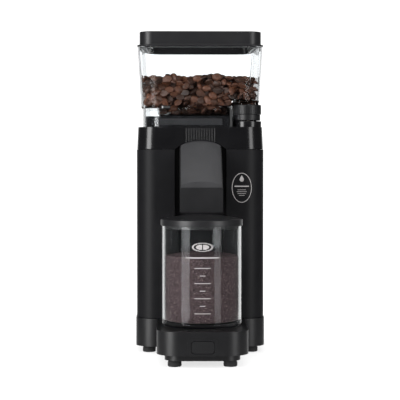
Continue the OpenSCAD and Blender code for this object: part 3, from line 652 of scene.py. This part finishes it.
def hopperInset(point):
    # distance from a point to the hopper's inner wall, and the direction away from it
    rise = (point.z - hopper["floor"]) / (hopper["rim"] - hopper["floor"])
    width = hopper["lowWidth"] + rise * (hopper["topWidth"] - hopper["lowWidth"])
    corner = hopper["corner"] - hopper["wall"]
    halfX = width / 2 - hopper["wall"] - corner
    halfY = (width - hopper["shallower"]) / 2 - hopper["wall"] - corner
    x, y = point.x, point.y - hopper["middleY"]
    pastX, pastY = abs(x) - halfX, abs(y) - halfY
    if pastX > 0 and pastY > 0:
        reach = math.hypot(pastX, pastY)
        return corner - reach, Vector((-math.copysign(pastX, x), -math.copysign(pastY, y), 0)) / reach
    if pastX > pastY:
        return corner - pastX, Vector((-math.copysign(1, x), 0, 0))
    return corner - pastY, Vector((0, -math.copysign(1, y), 0))


def hopperFloorAt(x, y, knobX, knobY):
    # height of the surface that the beans rest on
    if x > knobX - hopper["recess"] - hopper["wall"] and y < knobY + hopper["recess"] + hopper["wall"]:
        return hopper["recessRoof"] + hopper["wall"]
    r = math.hypot(x, y - hopper["bowlY"])
    wall, knee = hopper["wall"], hopper["bowlKnee"]
    bend = hopper["bowl"] - knee - wall
    if r > knee + bend:
        return hopper["floor"] + wall
    if r > knee:
        return hopper["floor"] - (hopper["bowlDrop"] - wall) * math.sqrt(1 - ((r - knee) / bend) ** 2)
    if r > hopper["neck"]:
        return hopper["floor"] - hopper["bowlDrop"] + wall
    return hopper["floor"] - hopper["neckDeep"]


def heapTop(x, y):
    # the uneven top of the beans: highest left of the middle, lowest right of it
    wave = math.sin(x / beans["waveLong"] + beans["waveShift"])
    wave += 0.7 * math.sin(x / beans["waveShort"] + y / beans["waveDeep"])
    peak = beans["peak"] * math.exp(-((x - beans["peakX"]) / beans["peakWide"]) ** 2)
    return beans["level"] + peak + beans["wave"] * wave


def settleBeans(rng, knobX, knobY):
    # loose balls pushed apart a few rounds inside the hopper's walls, floor and heap top
    apart = beans["apart"]
    middleY = hopper["middleY"]
    points = []
    while len(points) < beans["count"]:
        p = Vector((rng.uniform(-beans["spreadX"], beans["spreadX"]) * mm,
                    middleY + rng.uniform(-beans["spreadY"], beans["spreadY"]) * mm,
                    rng.uniform(beans["from"], beans["to"]) * mm))
        inside, away = hopperInset(p)
        if inside > 2 * mm and hopperFloorAt(p.x, p.y, knobX, knobY) + 1 * mm < p.z < heapTop(p.x, p.y):
            points.append(p)
    for turn in range(beans["rounds"]):
        cells = {}
        for i, p in enumerate(points):
            cells.setdefault((int(p.x // apart), int(p.y // apart), int(p.z // apart)), []).append(i)
        for (a, b, c), members in cells.items():
            near = [j for da in (-1, 0, 1) for db in (-1, 0, 1) for dc in (-1, 0, 1)
                    for j in cells.get((a + da, b + db, c + dc), ())]
            for i in members:
                for j in near:
                    if j <= i:
                        continue
                    gap = points[i] - points[j]
                    length = gap.length
                    if 0 < length < apart:
                        push = gap * (0.5 * (apart - length) / length)
                        points[i] += push
                        points[j] -= push
        for p in points:
            inside, away = hopperInset(p)
            if inside < beans["wallGap"]:
                p += away * (beans["wallGap"] - inside)
            low = hopperFloorAt(p.x, p.y, knobX, knobY) + beans["floorGap"]
            p.z = min(max(p.z, low), max(low, heapTop(p.x, p.y) - beans["topGap"]))
    return points


def makeBeans():
    low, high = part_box("knob")
    knobX, knobY = (low.x + high.x) / 2, (low.y + high.y) / 2
    rng = random.Random(beans["seed"])
    shape = beanShape()
    points = settleBeans(rng, knobX, knobY)
    mesh = bmesh.new()
    shade = mesh.verts.layers.float.new("beanShade")
    half = Vector((beans["long"], beans["wide"], beans["thick"])) / 2
    for p in points:
        inside, away = hopperInset(p)
        deep = heapTop(p.x, p.y) - p.z
        hidden = inside > beans["shell"] and deep > beans["shell"] and p.z > hopper["floor"] + 6 * mm
        if hidden:
            continue
        scale = rng.uniform(beans["smallest"], beans["largest"])
        turns = [Matrix.Rotation(rng.uniform(0, 2 * math.pi), 3, "Z")
                 @ Matrix.Rotation(rng.uniform(-0.6, 0.6) * math.pi, 3, "X")
                 @ Matrix.Rotation(rng.uniform(-0.4, 0.4) * math.pi, 3, "Y") for i in range(4)]

        def reach(turn, way):
            return math.sqrt(sum((turn.col[k].dot(way) * half[k] * scale) ** 2 for k in range(3)))

        up = Vector((0, 0, 1))
        sideways = 1 if inside < beans["nearWall"] else 0
        turn = min(turns, key=lambda t: sideways * reach(t, away) + 0.5 * reach(t, up))
        shift = max(0.0, reach(turn, away) + beans["clear"] - inside)
        p = p + away * shift
        room = p.z - hopperFloorAt(p.x, p.y, knobX, knobY) - reach(turn, up) - beans["clear"]
        p.z -= min(0.0, room)
        size = Matrix.Diagonal((beans["long"] * scale, beans["wide"] * scale, beans["thick"] * scale))
        place = Matrix.Translation(p) @ (turn @ size).to_4x4()
        before = len(mesh.verts)
        mesh.from_mesh(shape)
        mesh.verts.ensure_lookup_table()
        tone = rng.random()
        for v in mesh.verts[before:]:
            v.co = place @ v.co
            v[shade] = tone
    data = bpy.data.meshes.new("roastedBeans")
    mesh.to_mesh(data)
    mesh.free()
    pointsEach = len(shape.vertices)
    bpy.data.meshes.remove(shape)
    piece = bpy.data.objects.new("roastedBeans", data)
    scene.collection.objects.link(piece)
    choose(piece)
    print("beans placed:", len(data.vertices) // pointsEach)
    return finishPiece(piece, "bean_hopper", ["coffee_beans"], "roast_beans", angle=48)


makeBeans()
print("beans made")

# knob, plinth and collar

def makeKnob():
    low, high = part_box("knob")
    knob = {"radius": (high.x - low.x) / 2, "skirtRadius": 13.9 * mm, "skirtTop": 255.4 * mm,
            "topRound": 1.2 * mm, "flutes": 36, "fluteDepth": 0.35 * mm, "fluteGap": 0.12 * mm,
            "dish": 0.5 * mm, "dishRim": 3 * mm, "edge": 0.5 * mm, "step": 0.4 * mm}
    axis = ((low.x + high.x) / 2, (low.y + high.y) / 2)
    r, bend = knob["radius"], knob["topRound"]
    outline = [(knob["skirtRadius"] - knob["edge"], low.z), (knob["skirtRadius"], low.z + knob["edge"]),
               (knob["skirtRadius"], knob["skirtTop"]), (r - knob["step"], knob["skirtTop"] + 0.2 * mm),
               (r, knob["skirtTop"] + 0.6 * mm), (r, high.z - bend - 0.6 * mm)]
    outline += arc(r - bend, high.z - bend, bend, 0, 90, 5)
    outline += [(r - knob["dishRim"], high.z), (r - knob["dishRim"] - 1 * mm, high.z - knob["dish"]),
                (1 * mm, high.z - knob["dish"])]
    piece = turned("grindKnob", axis, outline, vertices=knob["flutes"] * 4)

    def onFlute(face):
        c = middle(face)
        turn = math.degrees(math.atan2(c.y - axis[1], c.x - axis[0])) % 360
        band = knob["skirtTop"] + 0.7 * mm < c.z < high.z - bend - 0.7 * mm
        return band and int(turn / (360 / (knob["flutes"] * 4))) % 4 == 1

    pick("FACE", onFlute)
    bpy.ops.mesh.inset(thickness=knob["fluteGap"], use_individual=True)
    shrink = 1 - knob["fluteDepth"] / r
    bpy.ops.transform.resize(value=(shrink, shrink, 1), center_override=(*axis, 0))
    pointer = {"length": 6 * mm, "width": 1.2 * mm, "inset": 4.6 * mm, "sunk": 0.55 * mm, "top": 0.3 * mm,
               "corner": 0.5 * mm}
    objectMode()
    finishPiece(piece, "grind_knob", ["knob"], "knob_plastic", angle=28)
    front, half = axis[1] - r + pointer["inset"], pointer["width"] / 2
    mark = roundedBlock("knobPointer", (axis[0] - half, front, high.z - pointer["sunk"]),
                        (axis[0] + half, front + pointer["length"], high.z - pointer["top"]),
                        pointer["corner"], 4)
    finishPiece(mark, "grind_knob", [], "white_print", angle=30)


def makePlinth():
    low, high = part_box("knob_plinth")
    axis = ((low.x + high.x) / 2, (low.y + high.y) / 2)
    r = (high.x - low.x) / 2
    plinth = {"bore": 5.5 * mm, "mouth": 7 * mm, "edge": 0.8 * mm, "seat": 3 * mm, "step": 0.6 * mm}
    edge, seat, step = plinth["edge"], plinth["seat"], plinth["step"]
    outline = [(plinth["bore"], low.z), (r, low.z), (r, high.z - edge)]
    outline += arc(r - edge, high.z - edge, edge, 0, 90, 4)
    outline += [(r - seat, high.z), (r - seat - step, high.z - step), (plinth["mouth"], high.z - step),
                (plinth["bore"], high.z - 1 * mm)]
    piece = turned("knobPlinth", axis, outline, closed=True)
    finishPiece(piece, "housing", ["knob_plinth"], "ring_plastic", angle=30)


def makeCollar():
    # square seat inside the hopper's skirt, bored for the bowl and notched for the knob
    low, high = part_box("hopper_collar")
    collar = {"corner": 20 * mm, "bore": 46 * mm, "knobGap": hopper["wall"] + 0.5 * mm,
              "edge": 0.9 * mm, "panelFrom": -44.5 * mm, "panelTo": 23.5 * mm, "panelProud": 0.12 * mm,
              "panelLow": 2.2 * mm, "panelHigh": 2.6 * mm}
    piece = roundedBlock("hopperCollar", low, high, collar["corner"])
    objectMode()
    beginPiece()
    bpy.ops.mesh.primitive_cylinder_add(vertices=144, radius=collar["bore"], depth=40 * mm,
                                        location=(0, hopper["bowlY"], low.z))
    cutWith(piece, bpy.context.object)
    cutWith(piece, knobRecess(collar["knobGap"]))
    finishPiece(piece, "housing", ["hopper_collar"], "ring_plastic", collar["edge"], 3, 40)
    # lighter label panel on the collar's front, left blank
    label = roundedBlock("collarPanel",
                         (collar["panelFrom"], low.y - collar["panelProud"], low.z + collar["panelLow"]),
                         (collar["panelTo"], low.y + 0.3 * mm, high.z - collar["panelHigh"]), 0.1 * mm, 1)
    finishPiece(label, "housing", [], "spout_plastic", angle=30)


makeKnob()
makePlinth()
makeCollar()
print("knob, plinth and collar made")

# top ring

def makeTopRing():
    low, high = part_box("top_ring")
    ring = {"low": low.z - 0.2 * mm, "high": high.z, "front": low.y + 0.7 * mm, "corner": 20.7 * mm,
            "wall": 3 * mm, "topShare": 0.984, "archTop": 228 * mm, "archSpan": 54.6 * mm,
            "archRise": 10 * mm, "ribs": 12, "ribPitch": 2.75 * mm, "ribWidth": 1.15 * mm,
            "ribLow": 224 * mm, "ribProud": 0.65 * mm, "ribDeep": 2.4 * mm, "ribCorner": 0.45 * mm}
    y = (ring["front"] + high.y) / 2
    piece = roundedBlock("topRing", (low.x, ring["front"], ring["low"]), (high.x, high.y, ring["high"]),
                         ring["corner"])
    pick("VERT", lambda v: v.co.z > ring["high"] - 0.01 * mm)
    bpy.ops.transform.resize(value=(ring["topShare"], ring["topShare"], 1),
                             center_override=(0, y, ring["high"]))
    pick("FACE", lambda f: abs(f.normal.z) > 0.9)
    bpy.ops.mesh.inset(thickness=ring["wall"])
    bpy.ops.mesh.bridge_edge_loops()
    objectMode()
    archR = ((ring["archSpan"] / 2) ** 2 + ring["archRise"] ** 2) / (2 * ring["archRise"])
    beginPiece()
    bpy.ops.mesh.primitive_cylinder_add(vertices=192, radius=archR, depth=20 * mm,
                                        location=(0, ring["front"] - 4 * mm, ring["archTop"] - archR),
                                        rotation=(math.radians(90), 0, 0))
    cutWith(piece, bpy.context.object)
    finishPiece(piece, "housing", ["top_ring"], "ring_plastic", 0.8 * mm, 3, 40)
    # the ribs above the arch stand a little proud of the ring's face
    rib = roundedBlock("ringRib", (-ring["ribWidth"] / 2, ring["front"] - ring["ribProud"], ring["ribLow"]),
                       (ring["ribWidth"] / 2, ring["front"] + ring["ribDeep"], ring["high"] - 1 * mm),
                       ring["ribCorner"], 3)
    pick("FACE", lambda f: f.normal.z > 0.9)
    bpy.ops.mesh.bevel(offset=0.4 * mm, segments=2)
    objectMode()
    copies = [rib]
    for i in range(ring["ribs"]):
        x = (i - (ring["ribs"] - 1) / 2) * ring["ribPitch"]
        copy = rib if i == 0 else rib.copy()
        if i:
            copy.data = source.copy()
            scene.collection.objects.link(copy)
            copies.append(copy)
        else:
            source = rib.data.copy()
        archAt = ring["archTop"] - archR + math.sqrt(archR ** 2 - x ** 2)
        for v in copy.data.vertices:
            v.co.x += x
            if v.co.z < ring["ribLow"] + 1 * mm:
                v.co.z = max(ring["ribLow"], archAt + 0.3 * mm) if abs(x) < archR else ring["ribLow"]
            else:
                lean = (v.co.z - ring["low"]) / (ring["high"] - ring["low"]) * (1 - ring["topShare"])
                v.co.y += (y - ring["front"]) * lean
    bpy.data.meshes.remove(source)
    joinPieces(copies)
    finishPiece(rib, "housing", [], "ring_plastic", angle=30)


makeTopRing()
print("top ring made")

# jar, its lid, its marks and the ground coffee

def makeJar():
    low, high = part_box("jar")
    jar = {"radius": (high.x - low.x) / 2, "wall": 3 * mm, "floor": 4 * mm, "heel": 3.5 * mm,
           "innerHeel": 3 * mm, "lip": 1.3 * mm, "punt": 1 * mm, "puntInset": 9 * mm,
           "footInset": 7.5 * mm}
    axis = (0, (low.y + high.y) / 2)
    r, wall, heel = jar["radius"], jar["wall"], jar["heel"]
    inner, bend, lip = r - wall, jar["innerHeel"], jar["lip"]
    outline = [(1.5 * mm, low.z + jar["punt"]), (r - jar["puntInset"], low.z + jar["punt"]),
               (r - jar["footInset"], low.z)]
    outline += arc(r - heel, low.z + heel, heel, -90, 0, 6)
    outline += [(r, high.z - lip)]
    outline += arc(r - wall / 2, high.z - lip, lip + 0.2 * mm, 0, 180, 6)[1:-1]
    outline = [(x, min(z, high.z)) for x, z in outline]
    outline += [(inner, high.z - lip), (inner, low.z + jar["floor"] + bend)]
    outline += arc(inner - bend, low.z + jar["floor"] + bend, bend, 0, -90, 5)[1:]
    outline += [(1.5 * mm, low.z + jar["floor"])]
    piece = turned("coffeeJar", axis, outline, vertices=128)
    objectMode()
    piece.visible_shadow = False
    finishPiece(piece, "coffee_jar", ["jar"], "jar_glass", angle=35)


def makeJarLid():
    low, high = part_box("jar_lid")
    lid = {"radius": (high.x - low.x) / 2, "dome": 181 * mm, "skirtLow": 139.7 * mm, "edge": 0.8 * mm,
           "plug": 37.6 * mm, "plugWall": 2.4 * mm, "under": 143.4 * mm, "hole": 12 * mm, "holeY": -44 * mm,
           "jarClear": 41.35 * mm}
    axis = (0, (low.y + high.y) / 2)
    r, edge = lid["radius"], lid["edge"]

    def domeAt(radius):
        return high.z - lid["dome"] + math.sqrt(lid["dome"] ** 2 - radius ** 2)

    shoulder = domeAt(r - edge)
    outline = [(1 * mm, high.z)] + [(k, domeAt(k)) for k in (10 * mm, 20 * mm, 30 * mm, 37 * mm, r - edge)]
    outline += arc(r - edge, shoulder - edge, edge, 70, 0, 4)
    outline += [(r, lid["skirtLow"] + 0.5 * mm), (r - 0.4 * mm, lid["skirtLow"]),
                (lid["jarClear"], lid["skirtLow"]), (lid["jarClear"], lid["under"]),
                (lid["plug"], lid["under"]), (lid["plug"], low.z + 0.5 * mm), (lid["plug"] - 0.5 * mm, low.z),
                (lid["plug"] - lid["plugWall"], low.z), (lid["plug"] - lid["plugWall"], lid["under"]),
                (1 * mm, lid["under"])]
    piece = turned("jarLid", axis, outline, vertices=128)
    objectMode()
    beginPiece()
    bpy.ops.mesh.primitive_cylinder_add(vertices=64, radius=lid["hole"], depth=30 * mm,
                                        location=(0, lid["holeY"], lid["under"]))
    cutWith(piece, bpy.context.object)
    finishPiece(piece, "coffee_jar", ["jar_lid"], "lid_plastic", 0.5 * mm, 3, 40)


def ringPatch(name, axis, radius, fromAngle, toAngle, low, high, thickness):
    # a printed bar lying on a round wall, from one angle to another
    steps = max(3, int((toAngle - fromAngle) / 1.5))
    beginPiece()
    bpy.ops.mesh.primitive_plane_add(size=1)
    patch = bpy.context.object
    patch.name = name
    editMode()
    bpy.ops.mesh.delete(type="ONLY_FACE")
    pick("EDGE", lambda e: middle(e).x > 0.1)
    bpy.ops.mesh.select_all(action="INVERT")
    bpy.ops.mesh.delete(type="EDGE")
    mesh = bmesh.from_edit_mesh(patch.data)
    start = math.radians(fromAngle)
    for v in mesh.verts:
        v.co = (axis[0] + radius * math.cos(start), axis[1] + radius * math.sin(start),
                high if v.co.y > 0 else low)
    bpy.ops.mesh.select_all(action="SELECT")
    bpy.ops.mesh.spin(steps=steps, angle=math.radians(fromAngle - toAngle), center=(*axis, 0), axis=(0, 0, 1))
    bpy.ops.mesh.select_all(action="SELECT")
    bpy.ops.mesh.remove_doubles(threshold=1e-7)
    bpy.ops.mesh.normals_make_consistent(inside=False)
    objectMode()
    applyModifier(patch, "SOLIDIFY", thickness=thickness, offset=1)
    return patch


def makeJarMarks():
    low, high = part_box("jar_marks")
    jarLow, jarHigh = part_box("jar")
    axis = (0, (jarLow.y + jarHigh.y) / 2)
    # long, short, wide and crease are half angles in degrees along the jar's wall
    marks = {"count": 7, "high": 0.75 * mm, "long": 11.4, "short": 3.9, "ink": 0.08 * mm,
             "clear": 0.03 * mm, "edge": 0.6 * mm}
    radius = (jarHigh.x - jarLow.x) / 2 + marks["clear"]
    step = (high.z - low.z - 2 * marks["edge"]) / (marks["count"] - 1)
    bars = []
    for i in range(marks["count"]):
        half = marks["short"] if i % 2 else marks["long"]
        z = low.z + marks["edge"] + i * step
        bars.append(ringPatch("levelMark", axis, radius, -90 - half, -90 + half, z - marks["high"] / 2,
                              z + marks["high"] / 2, marks["ink"]))
    # a plain bean-shaped emblem and a plain bar above the marks
    emblem = {"z": 119.6 * mm, "wide": 15, "half": 4.4 * mm, "rows": 14, "rim": (1.0, 0.84),
              "kernel": (0.62, 0.0), "crease": 0.7, "thinnest": 0.3,
              "bar": 108.9 * mm, "barWide": 24, "barHigh": 1.3 * mm}
    bars.append(ringPatch("levelMark", axis, radius, -90 - emblem["barWide"], -90 + emblem["barWide"],
                          emblem["bar"] - emblem["barHigh"] / 2, emblem["bar"] + emblem["barHigh"] / 2,
                          marks["ink"]))
    for size, inside in (emblem["rim"], emblem["kernel"]):
        for k in range(emblem["rows"]):
            z = -1 + (2 * k + 1) / emblem["rows"]
            if abs(z) > size:
                continue
            outer = math.sqrt(max(0.0, size ** 2 - z ** 2)) * emblem["wide"]
            hole = math.sqrt(max(0.0, (size * inside) ** 2 - z ** 2)) * emblem["wide"]
            inner = hole if inside else emblem["crease"]
            middleZ = emblem["z"] + z * emblem["half"]
            tall = emblem["half"] / emblem["rows"]
            for a, b in ((-outer, -inner), (inner, outer)):
                if b - a > emblem["thinnest"]:
                    bars.append(ringPatch("levelMark", axis, radius, -90 + a, -90 + b, middleZ - tall,
                                          middleZ + tall, marks["ink"]))
    joinPieces(bars)
    bars[0].name = "jarPrint"
    finishPiece(bars[0], "coffee_jar", ["jar_marks"], "white_print", angle=30)


def makeGrounds():
    low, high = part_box("ground_coffee")
    grounds = {"radius": (high.x - low.x) / 2, "side": 109 * mm, "rows": 34, "grain": 0.14 * mm, "seed": 4,
               "heel": 3 * mm, "domeSteps": 22, "shrink": 0.985}
    axis = (0, (low.y + high.y) / 2)
    r, side = grounds["radius"], grounds["side"]
    heel, dome = grounds["heel"], grounds["domeSteps"]
    outline = [(1.5 * mm, low.z), (r * 0.6, low.z), (r - heel, low.z)]
    outline += arc(r - heel, low.z + heel, heel, -90, 0, 4)[1:]
    first = low.z + heel
    outline += [(r, first + (side - first) * i / grounds["rows"]) for i in range(1, grounds["rows"] + 1)]
    outline += [(r * (1 - i / dome), side + (high.z - side) * math.sin(i / dome * math.pi / 2))
                for i in range(1, dome)]
    piece = turned("groundCoffee", axis, outline, vertices=160)
    pick("VERT", lambda v: v.co.z > low.z + 3.2 * mm)
    bpy.ops.transform.vertex_random(offset=grounds["grain"], uniform=0.6, normal=0.4, seed=grounds["seed"])
    pick("VERT", lambda v: math.hypot(v.co.x - axis[0], v.co.y - axis[1]) > r)
    bpy.ops.transform.resize(value=(grounds["shrink"], grounds["shrink"], 1), center_override=(*axis, 0))
    objectMode()
    finishPiece(piece, "coffee_jar", ["ground_coffee"], "coffee_grounds", angle=70)


makeJar()
makeJarLid()
makeJarMarks()
makeGrounds()
print("jar and ground coffee made")

# base, housing and chute

softCopy("baseTub", "base", "housing", 1.0 * mm)
softCopy("bodyShell", "body_shell", "housing", 0.6 * mm)
softCopy("topDeck", "top_deck", "housing", 0.4 * mm, 2)
softCopy("spoutDuct", "spout", "housing", 0.8 * mm)
softCopy("bottomPlate", "bottom_plate", "housing", 0.4 * mm, 2)
softCopy("cordGland", "cord_gland", "housing", 0.5 * mm)
softCopy("buttonBezel", "button_bezel", "housing", 0.12 * mm, 2)
softCopy("startKey", "start_button", "start_key", 0.5 * mm)
print("housing mouldings softened")


def makeFeet():
    # turned rubber feet with a rounded sole
    foot = {"radius": 7 * mm, "tall": 6.9 * mm, "sole": 1.3 * mm, "hollow": 0.8 * mm,
            "hollowRadius": 3.4 * mm, "hollowMouth": 4 * mm, "stem": 2.2 * mm, "stemInset": 0.5 * mm,
            "front": [(28, -105), (-28, -105)], "rear": [(55, 10), (-55, 10), (55, 112), (-55, 112)]}
    for name, nodeName, places in (("trayFoot", "front_feet", foot["front"]),
                                   ("housingFoot", "rear_feet", foot["rear"])):
        made = []
        for x, y in places:
            r, sole, tall = foot["radius"], foot["sole"], foot["tall"]
            neck, shoulder = r - foot["stemInset"], tall - foot["stem"]
            outline = [(1 * mm, foot["hollow"]), (foot["hollowRadius"], foot["hollow"]),
                       (foot["hollowMouth"], 0)]
            outline += arc(r - sole, sole, sole, -90, 0, 5)
            outline += [(r, shoulder), (neck, shoulder + 0.3 * mm), (neck, tall), (1 * mm, tall)]
            made.append(turned(name, (x * mm, y * mm), outline, vertices=48))
            objectMode()
        joinPieces(made)
        finishPiece(made[0], "housing", [nodeName], "foot_rubber", angle=30)


def makeBadge():
    # a raised oval ring round a plain drop, with plain bars in place of any wording
    low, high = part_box("badge")
    badge = {"rim": 0.65 * mm, "thick": 0.3 * mm, "ink": 0.12 * mm, "corner": 0.05 * mm,
             "bars": [(1.6, 15.4, 1.2), (-2.2, 9, 0.45), (-4.2, 11, 0.45), (-6.2, 9, 0.45), (-8.2, 6, 0.45)]}
    x, z = (low.x + high.x) / 2, (low.z + high.z) / 2
    beginPiece()
    bpy.ops.mesh.primitive_circle_add(vertices=72, radius=(high.x - low.x) / 2, fill_type="NGON")
    made = [bpy.context.object]
    made[0].name = "badgeRing"
    editMode()
    bpy.ops.mesh.select_all(action="SELECT")
    bpy.ops.transform.rotate(value=math.radians(90), orient_axis="X", center_override=(0, 0, 0))
    bpy.ops.transform.resize(value=(1, 1, (high.z - low.z) / (high.x - low.x)), center_override=(0, 0, 0))
    bpy.ops.transform.translate(value=(x, high.y, z))
    bpy.ops.mesh.inset(thickness=badge["rim"])
    bpy.ops.mesh.delete(type="FACE")
    objectMode()
    applyModifier(made[0], "SOLIDIFY", thickness=badge["thick"], offset=0)
    for up, wide, tall in badge["bars"]:
        bar = roundedBlock("badgeBar", (x - wide / 2 * mm, low.y + badge["ink"], z + (up - tall / 2) * mm),
                           (x + wide / 2 * mm, high.y, z + (up + tall / 2) * mm), badge["corner"], 2)
        objectMode()
        made.append(bar)
    drop = {"radius": 2.3 * mm, "tip": 4.4 * mm, "up": 8.8 * mm, "pinch": 0.75, "thick": 0.2 * mm}
    beginPiece()
    bpy.ops.mesh.primitive_circle_add(vertices=40, radius=drop["radius"], fill_type="NGON")
    piece = bpy.context.object
    editMode()
    bpy.ops.transform.rotate(value=math.radians(90), orient_axis="X", center_override=(0, 0, 0))
    mesh = bmesh.from_edit_mesh(piece.data)
    for v in mesh.verts:
        if v.co.z > 0:
            share = v.co.z / drop["radius"]
            v.co.x *= 1 - drop["pinch"] * share ** 1.5
            v.co.z = share * drop["tip"]
    bpy.ops.mesh.select_all(action="SELECT")
    bpy.ops.transform.translate(value=(x, high.y, z + drop["up"]))
    objectMode()
    applyModifier(piece, "SOLIDIFY", thickness=drop["thick"], offset=0)
    made.append(piece)
    joinPieces(made)
    editMode()
    bpy.ops.mesh.select_all(action="SELECT")
    bpy.ops.mesh.normals_make_consistent(inside=False)
    finishPiece(made[0], "housing", ["badge"], "white_print", angle=30)


# the chute cover is dressed in chute_plastic, whose lighter grey is painted light from above on its upward
# slope
softCopy("chuteCover", "chute_cover", "housing", 0.6 * mm)
makeFeet()
makeBadge()
print("chute, feet and badge made")
